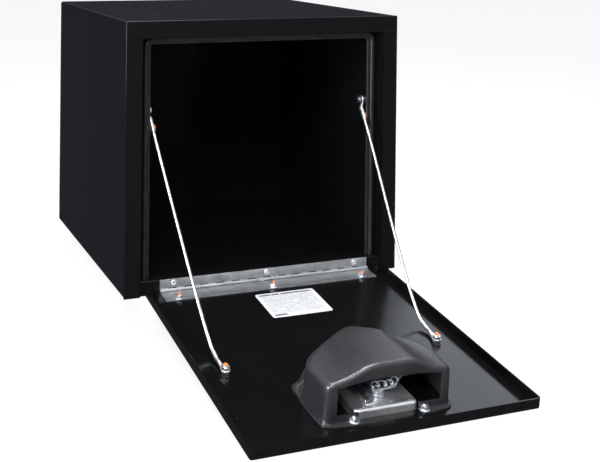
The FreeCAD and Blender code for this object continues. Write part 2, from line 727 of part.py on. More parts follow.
def build_anchors():
    """Bolts along X with the thread end toward the middle of the box."""
    bolts, nuts, spacers, patches = [], [], [], []
    for _, sign in SIDES:
        inward, outward = ("x", "-x") if sign < 0 else ("-x", "x")
        head = (BRACKET_OUT * sign, *ANCHOR)
        bolts.append(fuse(cylinder(ANCHOR_HEAD, ANCHOR_HEAD_HIGH, head, outward),
                          cylinder(STAY_BOLT, BRACKET_OUT - ANCHOR_TIP, head, inward)))
        length, position = dims.bracket_side - ANCHOR_LUG, (dims.bracket_side * sign, *ANCHOR)
        spacers.append(cut(cylinder(ANCHOR_HEAD, length, position, inward),
                           cylinder(STAY_HOLE, length, position, inward)))
        position = ((ANCHOR_LUG - dims.lug_gauge) * sign, *ANCHOR)
        nuts.append(nut(length=STAY_NUT_HIGH, position=position, axis=inward,
                        spin=10.0, **STAY_NUT))
        patches.append(cylinder(STAY_BOLT, ANCHOR_PATCH_LEN, (ANCHOR_TIP * sign, *ANCHOR),
                                inward))
    group(bolts, "anchor_bolts")
    group(spacers, "anchor_spacers")
    group(nuts, "anchor_nuts")
    group(patches, "anchor_patches")


for side, sign in SIDES:
    build_bracket(side, sign)
build_anchors()

# ---------------------------------------------------------------- cable stays
BARREL_SHARE = 0.065         # share of the curve taken by the upper barrel
BARREL_RAD = 3.0
BARREL_LEN = 12.8            # lower barrel
LUG_BORE = 3.06              # radius
LUG_FLAT = 8.0               # from the ring centre to the knee in the tongue
TONGUE_UP_HALF, TONGUE_LOW_HALF = 4.2, 4.4
TONGUE_LAP = 1.0             # tongue runs this far into the barrel
UPPER_LEAN = (-0.05, -0.606, -0.794)         # cable direction at the upper end, right side
UPPER_PULL = 97.9            # length of the curve's upper handle
LOWER_PULL = Vector(0, 33.6, 8.0)            # lower handle, door frame
SIGHT_RAD, SIGHT_LEN, SIGHT_SHARE = 1.5, 8, 0.55     # small hole in the lower tongue
UP = Vector(0, 0, 1)


def unit(vector):
    result = Vector(vector)
    result.normalize()
    return result


def lower_end(sign):
    """Lower end of the cable, door frame."""
    return Vector(sign * dims.lug_end_side.value, -dims.lug_end_out.value,
                  lift(dims.lug_end_rise).value)


def stay_poles(sign):
    """Bezier poles of a stay, upper end first."""
    upper = Vector(sign * dims.stay_top_side.value, FRONT.value + dims.stay_top_back.value,
                   dims.stay_top_up.value)
    x, y, z = UPPER_LEAN
    lean = unit(Vector(x * sign, y, z))
    end = lower_end(sign)
    return [upper, upper + lean * UPPER_PULL,
            DOOR_PLACE.multVec(end + LOWER_PULL), DOOR_PLACE.multVec(end)]


def curve_after(poles, share):
    """Poles of the part of a Bezier curve that follows the given share."""
    kept = []
    while poles:
        kept.insert(0, poles[-1])
        poles = [start + (end - start) * share for start, end in zip(poles, poles[1:])]
    return kept


def cable(poles):
    curve = Part.BezierCurve()
    curve.setPoles(poles)
    circle = Part.makeCircle(dims.stay_rad.value, poles[0], poles[1] - poles[0])
    return Part.Wire([curve.toShape()]).makePipeShell([Part.Wire([circle])], True, False)


def bar(start, end, wide, half_width, thick):
    """Flat bar between two centre points, lying along two unit vectors."""
    def outline(centre):
        corners = [centre + wide * (half_width * i) + thick * (dims.lug_gauge.value / 2 * j)
                   for i, j in ((1, -1), (-1, -1), (-1, 1), (1, 1))]
        return Part.makePolygon(corners + corners[:1])
    return Part.makeLoft([outline(start), outline(end)], True, True)


def lug(centre, axis, toward, tip, wide, half_width, barrel):
    """Ring on a bolt, tongue bent at a knee, and the barrel crimped on the cable."""
    gauge = dims.lug_gauge.value
    ring = Part.makeCylinder(dims.lug_ring_rad.value, gauge, centre, axis)
    middle = centre + axis * (gauge / 2)
    knee = middle + toward * LUG_FLAT
    tongue = bar(middle, knee, wide, half_width, axis).fuse(
        bar(knee, tip, wide, half_width, axis))
    hole = Part.makeCylinder(LUG_BORE, gauge + 2, centre - axis, axis)
    return ring.fuse([tongue, barrel]).cut(hole)


def upper_lug(sign, top, barrel_end):
    centre = Vector(sign * ANCHOR_LUG.value, ANCHOR[0].value, ANCHOR[1].value)
    inward = Vector(-sign, 0, 0)
    middle = centre + inward * (dims.lug_gauge.value / 2)
    along = unit(barrel_end - top)
    aim = top - along * 0.5
    toward = unit(Vector(middle.x, aim.y, aim.z) - middle)
    barrel = Part.makeCylinder(BARREL_RAD, (barrel_end - top).Length - 0.3, top, along)
    return lug(centre, inward, toward, top + along * TONGUE_LAP,
               unit(toward.cross(inward)), TONGUE_UP_HALF, barrel)


def lower_lug(sign):
    """Door frame."""
    centre = Vector(sign * dims.stay_stud_side.value, -dims.stay_stud_out.value,
                    lift(LUG_RISE).value)
    end = lower_end(sign)
    along = unit(-LOWER_PULL)
    barrel_end = end + along * 13.0
    reach = barrel_end - centre
    barrel = Part.makeCylinder(BARREL_RAD, BARREL_LEN, end + along * 0.2, along)
    sight = Part.makeCylinder(SIGHT_RAD, SIGHT_LEN,
                              centre + reach * SIGHT_SHARE - UP * (SIGHT_LEN / 2), UP)
    return lug(centre, UP, unit(Vector(reach.x, reach.y, 0)), barrel_end - along * TONGUE_LAP,
               Vector(1, 0, 0), TONGUE_LOW_HALF, barrel).cut(sight)


def build_stays():
    uppers, lowers = [], []
    for side, sign in SIDES:
        poles = stay_poles(sign)
        free = curve_after(poles, BARREL_SHARE)
        feature(cable(free), "stay_cable_" + side)
        uppers.append(upper_lug(sign, poles[0], free[0]))
        lowers.append(lower_lug(sign))
    feature(Part.makeCompound(uppers), "stay_lugs_upper")
    feature(Part.makeCompound(lowers), "stay_lugs_lower", DOOR_PLACE)


build_stays()


# ---------------------------------------------------------------- sticker
def build_sticker():
    thickness, corner = 0.2, 3.0
    half_x, half_y = dims.sticker_long / 2, dims.sticker_wide / 2
    sticker = Piece("sticker_body")
    outline = sticker.polygon(
        "sticker_outline", "XY", lift(SHEET),
        rect(dims.sticker_side - half_x, out(dims.sticker_out + half_y),
             dims.sticker_side + half_x, out(dims.sticker_out - half_y)))
    sticker.pad(outline, thickness, "sticker_sheet")
    sticker.fillet(corner, "sticker_corners", lambda edge: edge.axis == "z")
    on_door(sticker.finish("data_sticker"))


build_sticker()

# ---------------------------------------------------------------- latch dish, gasket, studs
LATCH_Y = out(dims.latch_out)
DISH_LOW = -dims.gasket_gauge - dims.dish_gauge      # outer face of the dish flange
DISH_CORNER, DISH_DRAW = 8.0, 2.5                    # radii
BUSHING_HOLE = 8.0
GASKET_INSET = 1             # gasket edge inside the flange edge
GASKET_CLEAR = 0.1           # gasket hole over stud radius
STUD_PROUD = 6.2             # stud above the guard base
# plan extents: half width, outer end, inner end
DISH_PLAN = (dims.dish_half, dims.dish_out, dims.dish_in)
FLANGE_PLAN = (dims.dish_flange_half, dims.dish_flange_out, dims.dish_flange_in)


def build_dish():
    dish = Piece("dish_body")
    gauge = dims.dish_gauge
    flange = dish.polygon("dish_flange", "XY", lift(DISH_LOW), dish_rect(*FLANGE_PLAN))
    dish.pad(flange, gauge, "dish_flange_sheet")
    dish.fillet(DISH_CORNER, "dish_flange_corners", lambda edge: edge.axis == "z")
    box = dish.polygon("dish_box", "XY", lift(DISH_LOW), dish_rect(*DISH_PLAN))
    dish.pad(box, dims.dish_rise - DISH_LOW, "dish_box_solid")
    # tall corner edges and the rim of the raised face
    dish.fillet(DISH_DRAW, "dish_draw_radii",
                lambda edge: near(edge.z, lift(dims.dish_rise)) or (
                    edge.axis == "z" and near(abs(edge.x), dims.dish_half)
                    and edge.rise > 5))
    hollow = dish.polygon("dish_hollow", "XY", lift(DISH_LOW),
                          dish_rect(*DISH_PLAN, grow=-gauge))
    dish.pocket(hollow, dims.dish_rise - DISH_LOW - gauge, "dish_hollow_cut", flip=True)
    hole = dish.circles("bushing_hole", "XY", lift(dims.dish_rise + 2),
                        [(0, LATCH_Y, BUSHING_HOLE)])
    dish.pocket(hole, 5, "bushing_hole_cut")
    on_door(dish.finish("latch_dish"))


def build_gasket():
    gasket = Piece("gasket_body")
    outline = gasket.polygon("gasket_outline", "XY", lift(-dims.gasket_gauge),
                             dish_rect(*FLANGE_PLAN, grow=-GASKET_INSET),
                             dish_rect(*DISH_PLAN, grow=DISH_GAP))
    gasket.pad(outline, dims.gasket_gauge, "gasket_sheet")
    sketch = gasket.circles("gasket_holes", "XY", lift(3),
                            holes(DISH_STUDS, dims.stud_rad + GASKET_CLEAR))
    gasket.pocket(sketch, 10, "gasket_holes_cut")
    on_door(gasket.finish("dish_gasket"))


def build_dish_fasteners():
    """Four studs, with flanged nuts on the guard base."""
    stud_len = dims.gasket_gauge + SHEET + FOOT_GAUGE + STUD_PROUD
    studs, nuts = [], []
    for spot in DISH_STUDS:
        studs.append(cylinder(dims.stud_rad, stud_len, (*spot, lift(-dims.gasket_gauge))))
        seat = (*spot, lift(SHEET + FOOT_GAUGE))
        nuts.append(cut(fuse(hexagon(8.0, 4.6, seat, "z", 17.0), cylinder(5.6, 1.0, seat)),
                        cylinder(dims.stud_rad + 0.03, 6, seat)))
    on_door(group(studs, "dish_studs"))
    on_door(group(nuts, "guard_nuts"))


build_dish()
build_gasket()
build_dish_fasteners()

# ---------------------------------------------------------------- latch works
BUSHING_RAD, BUSHING_FLANGE, BUSHING_STEP = 7.95, 11.5, 2.5
SHAFT_RISE, SHAFT_LEN = 9.0, 15.5
HUB_RISE, HUB_LEN = 1.0, 8.4
SLOT_SIZE, SLOT_X, SLOT_RISE = (14.5, 8.2, 9.2), -10.0, -0.5
CROSS_RAD, CROSS_LEN, CROSS_RISE = 1.5, 17.4, 5.0    # pin across the hub, along Y
CROSS_BORE, CROSS_BORE_LEN = 1.51, 24
STEM_HALF, STEM_RISE, STEM_HIGH, EYE_RAD = 4.0, 1.3, 7.4, 3.7
GRIP_RISE, GRIP_HIGH, GRIP_ROUND = 1.0, 8.0, 2.4
GRIP_MID = -(dims.handle_reach - dims.grip_width / 2)
PLUG_RAD, PLUG_LEN, PLUG_BORE_LEN = 2.6, 5.5, 5.6
KEYWAY = (0.9, 3.2, 1.6)
PAWL_SEAT, PAWL_TIP = 22, 33.5               # undersides of the hub plate and the end
PAWL_FIT = 0.02              # bore over shaft radius


def build_bushing():
    rise = dims.dish_rise - BUSHING_STEP
    solid = fuse(cylinder(BUSHING_RAD, BUSHING_STEP, (0, LATCH_Y, lift(rise))),
                 cylinder(BUSHING_FLANGE, BUSHING_STEP, (0, LATCH_Y, lift(dims.dish_rise))))
    bore = cylinder(dims.shaft_rad + dims.run_clear, 8, (0, LATCH_Y, lift(8)))
    on_door(finish(cut(solid, bore), "shaft_bushing"))


def build_shaft():
    """Shaft with a slotted hub; the slot takes the handle stem."""
    solid = fuse(cylinder(dims.shaft_rad, SHAFT_LEN, (0, LATCH_Y, lift(SHAFT_RISE))),
                 cylinder(dims.hub_rad, HUB_LEN, (0, LATCH_Y, lift(HUB_RISE))))
    slot = block(*SLOT_SIZE, (SLOT_X, LATCH_Y - SLOT_SIZE[1] / 2, lift(SLOT_RISE)))
    bore = cylinder(CROSS_BORE, CROSS_BORE_LEN,
                    (0, LATCH_Y - CROSS_BORE_LEN / 2, lift(CROSS_RISE)), "y")
    on_door(finish(cut(solid, fuse(slot, bore)), "latch_shaft"))


def build_cross_pin():
    pin = cylinder(CROSS_RAD, CROSS_LEN, (0, LATCH_Y - CROSS_LEN / 2, lift(CROSS_RISE)), "y")
    on_door(group([pin], "handle_pin"))


def build_handle():
    """T-handle, folded flat, pointing to the left."""
    handle = Piece("t_handle_body")
    reach, half = dims.handle_reach, dims.handle_half
    stem = handle.polygon("stem_outline", "XY", lift(STEM_RISE),
                          rect(-(reach - 2), LATCH_Y - STEM_HALF, 0, LATCH_Y + STEM_HALF))
    handle.pad(stem, STEM_HIGH, "stem_bar")
    eye = handle.circles("stem_eye", "XZ", -(LATCH_Y - STEM_HALF),
                         [(0, lift(CROSS_RISE), EYE_RAD)])
    handle.pad(eye, STEM_HALF * 2, "stem_eye_solid", flip=True)
    grip = handle.polygon("grip_outline", "XY", lift(GRIP_RISE),
                          rect(-reach, LATCH_Y - half,
                               -(reach - dims.grip_width), LATCH_Y + half))
    handle.pad(grip, GRIP_HIGH, "grip_bar")
    # long edges at the far left and the upright corners of the grip
    handle.fillet(GRIP_ROUND, "grip_rounds",
                  lambda edge: (edge.axis == "y" and near(edge.x, -reach)) or (
                      edge.axis == "z" and near(abs(edge.y - LATCH_Y.value), half)))
    eye = handle.circles("pin_eye", "XZ", -(LATCH_Y - 8.0),
                         [(0, lift(CROSS_RISE), CROSS_RAD + dims.run_clear)])
    handle.pocket(eye, 20, "pin_eye_cut")
    bore = handle.circles("plug_bore", "XY", lift(GRIP_RISE),
                          [(GRIP_MID, LATCH_Y, PLUG_RAD + dims.run_clear)])
    handle.pocket(bore, PLUG_BORE_LEN, "plug_bore_cut", flip=True)
    on_door(handle.finish("t_handle"))


def build_key_plug():
    x, y, _ = KEYWAY
    plug = cut(cylinder(PLUG_RAD, PLUG_LEN, (GRIP_MID, LATCH_Y, lift(GRIP_RISE))),
               block(*KEYWAY, (GRIP_MID - x / 2, LATCH_Y - y / 2, lift(0.6))))
    on_door(finish(plug, "key_plug"))


def build_pawl():
    """Hub plate, ramp and raised end, pointing right at rest."""
    pawl = Piece("pawl_body")
    seat_top, tip_top = PAWL_SEAT + dims.pawl_gauge, PAWL_TIP + dims.pawl_gauge
    # x, height above the door's outer face
    profile = [
        (-11, PAWL_SEAT), (18, PAWL_SEAT), (22.5, 23.5), (28.5, 31.5), (33, PAWL_TIP),
        (dims.pawl_reach, PAWL_TIP), (dims.pawl_reach, tip_top), (32, tip_top),
        (26.8, 33.5), (21, 25.6), (17.5, seat_top), (-11, seat_top),
    ]
    sketch = pawl.polygon("pawl_profile", "XZ", -(LATCH_Y - dims.pawl_width / 2),
                          [(x, lift(height)) for x, height in profile])
    pawl.pad(sketch, dims.pawl_width, "pawl_strap", flip=True)
    sketch = pawl.circles("pawl_bore", "XY", lift(40),
                          [(0, LATCH_Y, dims.shaft_rad + PAWL_FIT)])
    pawl.pocket(sketch, 40, "pawl_bore_cut")
    on_door(pawl.finish("pawl"))
    on_door(finish(nut(flats=13.0, bore=dims.shaft_rad + PAWL_FIT, length=3.6,
                       position=(0, LATCH_Y, lift(18.35)), spin=15.0), "pawl_nut"))


def coil(radius, wire, pitch, turns, base, axis):
    helix = Part.Wire(Part.makeHelix(pitch, pitch * turns, radius).Edges)
    circle = Part.Wire([Part.makeCircle(wire, Vector(radius, 0, 0), Vector(0, 1, 0))])
    spring = helix.makePipeShell([circle], True, True)
    return spring.transformed(Placement(base, Rotation(UP, axis)).toMatrix(), True)


def build_springs():
    """Helical spring along the pawl, and a torsion spring round the shaft."""
    y = LATCH_Y.value
    feature(coil(radius=4.6, wire=0.9, pitch=5.2, turns=4,
                 base=Vector(-4.6, y - 6, lift(30.02).value), axis=Vector(1, 0, 0)),
            "pawl_spring", DOOR_PLACE)

    radius, wire, pitch, turns, leg = 7.6, 0.7, 1.5, 1.5, 18
    z = lift(15.2).value
    core = coil(radius, wire, pitch, turns, Vector(0, y, z), UP)
    # straight legs lying over the dish
    legs = [Part.makeCylinder(wire, leg, start, Vector(0, -1, 0))
            for start in (Vector(radius, y, z), Vector(-radius, y, z + pitch * turns))]
    feature(core.fuse(legs), "return_spring", DOOR_PLACE)


def build_stop():
    """Angle bracket that stops the pawl heel."""
    gauge, right, left, outer, inner, high = 1.5, -12.6, -25.0, 330, 290, 8.5
    stop = Piece("stop_body")
    foot = stop.polygon("stop_foot", "XY", lift(dims.dish_rise),
                        rect(left, out(outer), right, out(inner)))
    stop.pad(foot, gauge, "stop_foot_plate")
    ear = stop.polygon("stop_ear", "XY", lift(dims.dish_rise),
                       rect(right - gauge, out(outer), right, out(inner)))
    stop.pad(ear, high, "stop_ear_plate")
    on_door(stop.finish("pawl_stop"))


build_bushing()
build_shaft()
build_cross_pin()
build_handle()
build_key_plug()
build_pawl()
build_springs()
build_stop()

# ---------------------------------------------------------------- moulded guard
WALL = dims.guard_wall
INNER_HALF = dims.guard_half - WALL
GUARD_CORNER, GUARD_BROW, HUMP_ROUND = 12.0, 9.0, 8.0        # radii
MOUTH_AHEAD = 15             # mouth cuts start this far in front of the wall
LOW_MOUTH_HALF = 40.4
GUARD_HOLE_CLEAR = 0.3       # guard hole over stud radius
# base flange and foot of the right side: (x, distance out from the hinge axis)
GUARD_FLANGE = [
    (INNER_HALF, 350), (dims.guard_half + 5, 346), (dims.guard_half + 5, 262),
    (dims.guard_half - 14, 252), (dims.guard_rear_half + 10, 230), (40, 230), (40, 248),
    (dims.guard_rear_half - 1, 250), (INNER_HALF, 286),
]
GUARD_FOOT = [(40.5, 351), (INNER_HALF, 350), (INNER_HALF, 338.2), (46.5, 338.2), (40.5, 341)]


def shoulder_plan(inset, front):
    half = dims.guard_half - inset
    rear_half = dims.guard_rear_half - inset * 0.6
    side, rear = out(dims.guard_side_in + inset * 0.45), out(dims.guard_rear + inset)
    return [(-half, out(front)), (half, out(front)), (half, side),
            (rear_half, rear), (-rear_half, rear), (-half, side)]


def hump_plan(inset, front):
    side, rear = out(262 + inset * 0.5), out(232 + inset)
    return [(-54 + inset, out(front)), (-(inset - 54), out(front)), (-(inset - 42), side),
            (-(inset * 0.6 - 24), rear), (-24 + inset * 0.6, rear), (-42 + inset, side)]


def build_guard():
    guard = Piece("guard_body")
    base = lift(SHEET)
    front, inner_front = dims.guard_front, dims.guard_front - WALL
    none = Bound.of(0)
    sketch = guard.polygon("guard_shoulder_plan", "XY", base, shoulder_plan(none, front))
    guard.pad(sketch, dims.guard_shoulder - SHEET, "guard_shoulder_solid")
    guard.fillet(GUARD_CORNER, "guard_corner_rounds", lambda edge: edge.axis == "z")
    # top edges, all but the one along the front wall
    guard.fillet(GUARD_BROW, "guard_brow",
                 lambda edge: near(edge.z, lift(dims.guard_shoulder))
                 and edge.y > -front.value + 0.5)
    sketch = guard.polygon("guard_hump_plan", "XY", base, hump_plan(none, front))
    guard.pad(sketch, dims.guard_hump - SHEET, "guard_hump_solid")
    guard.fillet(HUMP_ROUND, "guard_hump_rounds",
                 lambda edge: near(edge.z, lift(dims.guard_hump)))
    sketch = guard.polygon("guard_inside_plan", "XY", base, shoulder_plan(WALL, inner_front))
    guard.pocket(sketch, dims.guard_shoulder - SHEET - WALL - 3, "guard_inside_cut", flip=True)
    sketch = guard.polygon("guard_hump_inside", "XY", base, hump_plan(WALL, inner_front))
    guard.pocket(sketch, dims.guard_hump - SHEET - WALL, "guard_hump_inside_cut", flip=True)
    # side runs of the base, and the feet carrying the nuts
    for _, sign in SIDES:
        for name, points in (("flange", GUARD_FLANGE), ("foot", GUARD_FOOT)):
            sketch = guard.polygon("guard_%s%d" % (name, sign + 1), "XY", base,
                                   [(x * sign, out(distance)) for x, distance in points])
            guard.pad(sketch, FOOT_GAUGE, "guard_%s_plate%d" % (name, sign + 1))
    # mouth in the front wall
    sketch = guard.polygon("guard_mouth", "XZ", front + MOUTH_AHEAD,
                           rect(-dims.guard_open_half, lift(SHEET + FOOT_GAUGE),
                                dims.guard_open_half, lift(dims.guard_open_top)))
    guard.pocket(sketch, MOUTH_AHEAD + WALL + 12, "guard_mouth_cut")
    sketch = guard.polygon("guard_mouth_low", "XZ", front + MOUTH_AHEAD,
                           rect(-LOW_MOUTH_HALF, base, LOW_MOUTH_HALF, lift(SHEET + 3.5)))
    guard.pocket(sketch, MOUTH_AHEAD + WALL + 4, "guard_mouth_low_cut")
    sketch = guard.circles("guard_holes", "XY", lift(SHEET + FOOT_GAUGE),
                           holes(DISH_STUDS, dims.stud_rad + GUARD_HOLE_CLEAR))
    guard.pocket(sketch, 10, "guard_holes_cut")
    on_door(guard.finish("latch_guard"))


build_guard()


# ---------------------------------------------------------------- check and write
def export_pieces():
    doc.recompute()
    bad = [obj.Name for obj in doc.Objects if "Invalid" in obj.State or "Error" in obj.State]
    if bad:
        raise SystemExit("failed objects: %s" % bad)
    os.makedirs("parts", exist_ok=True)
    for name in os.listdir("parts"):
        if name.endswith(".step"):
            os.remove(os.path.join("parts", name))
    for obj, node in pieces:
        shape = obj.Shape
        if shape.isNull() or not shape.isValid() or not shape.Solids:
            raise SystemExit("bad shape: " + node)
        if obj.Label != node:
            raise SystemExit("label clash: " + node)
        shape.exportStep("parts/%s.step" % node)


export_pieces()
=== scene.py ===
# Looks for the truck tool box: materials, modelled pieces, light and camera.
import bpy
import bmesh
import json
import math
import random
from mathutils import Matrix, Vector

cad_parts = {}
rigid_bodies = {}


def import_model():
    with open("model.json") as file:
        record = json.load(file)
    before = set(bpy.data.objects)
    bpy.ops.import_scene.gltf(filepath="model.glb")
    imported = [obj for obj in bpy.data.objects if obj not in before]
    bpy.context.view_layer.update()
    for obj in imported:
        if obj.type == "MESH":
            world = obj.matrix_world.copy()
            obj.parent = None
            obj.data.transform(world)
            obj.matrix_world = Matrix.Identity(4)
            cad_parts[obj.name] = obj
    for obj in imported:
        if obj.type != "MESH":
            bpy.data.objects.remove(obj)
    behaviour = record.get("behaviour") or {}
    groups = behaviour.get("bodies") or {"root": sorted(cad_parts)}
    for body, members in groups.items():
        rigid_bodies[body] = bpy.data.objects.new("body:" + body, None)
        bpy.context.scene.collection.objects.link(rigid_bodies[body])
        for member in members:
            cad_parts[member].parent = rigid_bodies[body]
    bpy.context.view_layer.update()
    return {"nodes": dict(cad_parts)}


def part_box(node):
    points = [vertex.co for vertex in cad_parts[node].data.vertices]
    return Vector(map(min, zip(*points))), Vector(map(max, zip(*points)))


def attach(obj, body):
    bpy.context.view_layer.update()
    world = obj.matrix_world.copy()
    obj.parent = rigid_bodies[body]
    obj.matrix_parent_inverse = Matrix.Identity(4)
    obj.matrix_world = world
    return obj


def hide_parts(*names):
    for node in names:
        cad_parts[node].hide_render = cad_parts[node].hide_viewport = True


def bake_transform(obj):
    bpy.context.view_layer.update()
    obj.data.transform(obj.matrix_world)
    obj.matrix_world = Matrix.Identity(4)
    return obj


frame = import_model()
random.seed(7)
NODES = frame["nodes"]

# ------------------------------------------------------------------ frames
DROOP = math.radians(7.587)
DOOR = Matrix.Translation((0, -0.2016, 0.0054)) @ Matrix.Rotation(DROOP, 4, "X") @ Matrix.Scale(0.001, 4)
BOX = Matrix.Scale(0.001, 4)          # fit frame: y measured from the front plane
BOX = Matrix.Translation((0, -0.2032, 0)) @ Matrix.Scale(0.001, 4)


def D(x, s, t):
    """door point in mm: x, distance out from the hinge axis, height over the outer face"""
    return Vector((x, -s, t - 3.3))


# ------------------------------------------------------------------ materials
def nodes_of(name):
    m = bpy.data.materials.new(name)
    m.use_nodes = True
    nt = m.node_tree
    b = nt.nodes["Principled BSDF"]
    return m, nt, b


def tex_coord(nt, scale=(1, 1, 1), kind="Object"):
    tc = nt.nodes.new("ShaderNodeTexCoord")
    mp = nt.nodes.new("ShaderNodeMapping")
    mp.inputs["Scale"].default_value = scale
    nt.links.new(tc.outputs[kind], mp.inputs["Vector"])
    return mp.outputs["Vector"]


def noise(nt, vec, scale, detail=2.0, rough=0.5, dist=0.0):
    n = nt.nodes.new("ShaderNodeTexNoise")
    n.inputs["Scale"].default_value = scale
    n.inputs["Detail"].default_value = detail
    n.inputs["Roughness"].default_value = rough
    n.inputs["Distortion"].default_value = dist
    if vec is not None:
        nt.links.new(vec, n.inputs["Vector"])
    return n.outputs["Fac"]


def ramp(nt, fac, stops, interp="LINEAR"):
    r = nt.nodes.new("ShaderNodeValToRGB")
    r.color_ramp.interpolation = interp
    el = r.color_ramp.elements
    while len(el) > 1:
        el.remove(el[-1])
    for i, (p, c) in enumerate(stops):
        e = el[0] if i == 0 else el.new(p)
        e.position = p
        e.color = (c, c, c, 1) if isinstance(c, (int, float)) else (*c, 1)
    nt.links.new(fac, r.inputs["Fac"])
    return r.outputs["Color"]


def bump(nt, height, strength, dist, normal=None):
    b = nt.nodes.new("ShaderNodeBump")
    b.inputs["Strength"].default_value = strength
    b.inputs["Distance"].default_value = dist
    nt.links.new(height, b.inputs["Height"])
    if normal is not None:
        nt.links.new(normal, b.inputs["Normal"])
    return b.outputs["Normal"]


def mathn(nt, op, a, b=None):
    n = nt.nodes.new("ShaderNodeMath")
    n.operation = op
    for i, v in enumerate((a, b)):
        if v is None:
            continue
        if isinstance(v, (int, float)):
            n.inputs[i].default_value = v
        else:
            nt.links.new(v, n.inputs[i])
    return n.outputs[0]


def powder_black():
    m, nt, b = nodes_of("powder_black")
    v = tex_coord(nt)
    big = noise(nt, v, 9.0, 3.0, 0.55)
    fine = noise(nt, v, 900.0, 2.0, 0.5)
    peel = noise(nt, v, 260.0, 2.0, 0.45)
    b.inputs["Base Color"].default_value = (0.0042, 0.0042, 0.0045, 1)
    # dust specks
    vor = nt.nodes.new("ShaderNodeTexVoronoi")
    vor.inputs["Scale"].default_value = 62.0
    nt.links.new(v, vor.inputs["Vector"])
    speck = ramp(nt, vor.outputs["Distance"], [(0.0, 1.0), (0.022, 0.7), (0.034, 0.0)])
    sel = nt.nodes.new("ShaderNodeSeparateColor")
    nt.links.new(vor.outputs["Color"], sel.inputs[0])
    pick = ramp(nt, sel.outputs[0], [(0.0, 0.0), (0.80, 0.0), (0.84, 1.0)])
    sp = mathn(nt, "MULTIPLY", speck, pick)
    mix = nt.nodes.new("ShaderNodeMix")
    mix.data_type = "RGBA"
    nt.links.new(sp, mix.inputs["Factor"])
    mix.inputs["A"].default_value = (0.0042, 0.0042, 0.0045, 1)
    mix.inputs["B"].default_value = (0.16, 0.16, 0.17, 1)
    nt.links.new(mix.outputs["Result"], b.inputs["Base Color"])
    rg = ramp(nt, big, [(0.3, 0.13), (0.7, 0.20)])
    nt.links.new(rg, b.inputs["Roughness"])
    b.inputs["Specular IOR Level"].default_value = 0.27
    b.inputs["Coat Weight"].default_value = 0.0
    b.inputs["Coat Roughness"].default_value = 0.09
    n1 = bump(nt, peel, 0.07, 0.0006)
    n2 = bump(nt, fine, 0.05, 0.0002, n1)
    nt.links.new(n2, b.inputs["Normal"])
    return m


def metal(name, color, rough, scratch_scale=(1, 1, 1), scratch=0.08, grain=500.0, vary=0.10, bumpy=0.08):
    m, nt, b = nodes_of(name)
    v = tex_coord(nt, scratch_scale)
    v0 = tex_coord(nt)
    g = noise(nt, v, grain, 3.0, 0.6)
    c = noise(nt, v0, 60.0, 3.0, 0.6)
    b.inputs["Metallic"].default_value = 1.0
    lo = tuple(x * 0.72 for x in color)
    hi = tuple(min(1, x * 1.08) for x in color)
    col = ramp(nt, c, [(0.30, lo), (0.62, hi)])
    nt.links.new(col, b.inputs["Base Color"])
    rg = ramp(nt, g, [(0.3, max(0.03, rough - vary)), (0.7, rough + vary)])
    nt.links.new(rg, b.inputs["Roughness"])
    nt.links.new(bump(nt, g, bumpy, 0.0002), b.inputs["Normal"])
    return m


def rubber(name, tone=0.012, rough=0.55):
    m, nt, b = nodes_of(name)
    v = tex_coord(nt)
    n = noise(nt, v, 1400.0, 3.0, 0.6)
    n2 = noise(nt, v, 90.0, 2.0, 0.5)
    col = ramp(nt, n2, [(0.3, tone * 0.7), (0.7, tone * 1.5)])
    nt.links.new(col, b.inputs["Base Color"])
    rg = ramp(nt, n, [(0.3, rough - 0.12), (0.7, rough + 0.1)])
    nt.links.new(rg, b.inputs["Roughness"])
    nt.links.new(bump(nt, n, 0.25, 0.0002), b.inputs["Normal"])
    return m


def guard_plastic():
    m, nt, b = nodes_of("guard_plastic")
    v = tex_coord(nt)
    leather = nt.nodes.new("ShaderNodeTexVoronoi")
    leather.feature = "SMOOTH_F1"
    leather.inputs["Scale"].default_value = 560.0
    nt.links.new(v, leather.inputs["Vector"])
    n2 = noise(nt, v, 1500.0, 3.0, 0.6)
    n3 = noise(nt, v, 22.0, 3.0, 0.55)
    col = ramp(nt, n3, [(0.25, (0.013, 0.013, 0.014)), (0.75, (0.024, 0.024, 0.025))])
    nt.links.new(col, b.inputs["Base Color"])
    rg = ramp(nt, n2, [(0.3, 0.27), (0.7, 0.40)])
    nt.links.new(rg, b.inputs["Roughness"])
    b.inputs["Specular IOR Level"].default_value = 1.0
    n1 = bump(nt, leather.outputs["Distance"], 0.62, 0.0005)
    nt.links.new(bump(nt, n2, 0.22, 0.0002, n1), b.inputs["Normal"])
    return m


def plain(name, color, rough, coat=0.0, bump_scale=800.0, bump_amt=0.1, trans=0.0):
    m, nt, b = nodes_of(name)
    v = tex_coord(nt)
    n = noise(nt, v, bump_scale, 2.0, 0.5)
    n2 = noise(nt, v, 70.0, 2.0, 0.5)
    lo = tuple(c * 0.85 for c in color)
    nt.links.new(ramp(nt, n2, [(0.3, lo), (0.7, color)]), b.inputs["Base Color"])
    nt.links.new(ramp(nt, n, [(0.3, max(0.02, rough - 0.06)), (0.7, rough + 0.06)]), b.inputs["Roughness"])
    b.inputs["Coat Weight"].default_value = coat
    b.inputs["Coat Roughness"].default_value = 0.08
    b.inputs["Transmission Weight"].default_value = trans
    nt.links.new(bump(nt, n, bump_amt, 0.0002), b.inputs["Normal"])
    return m


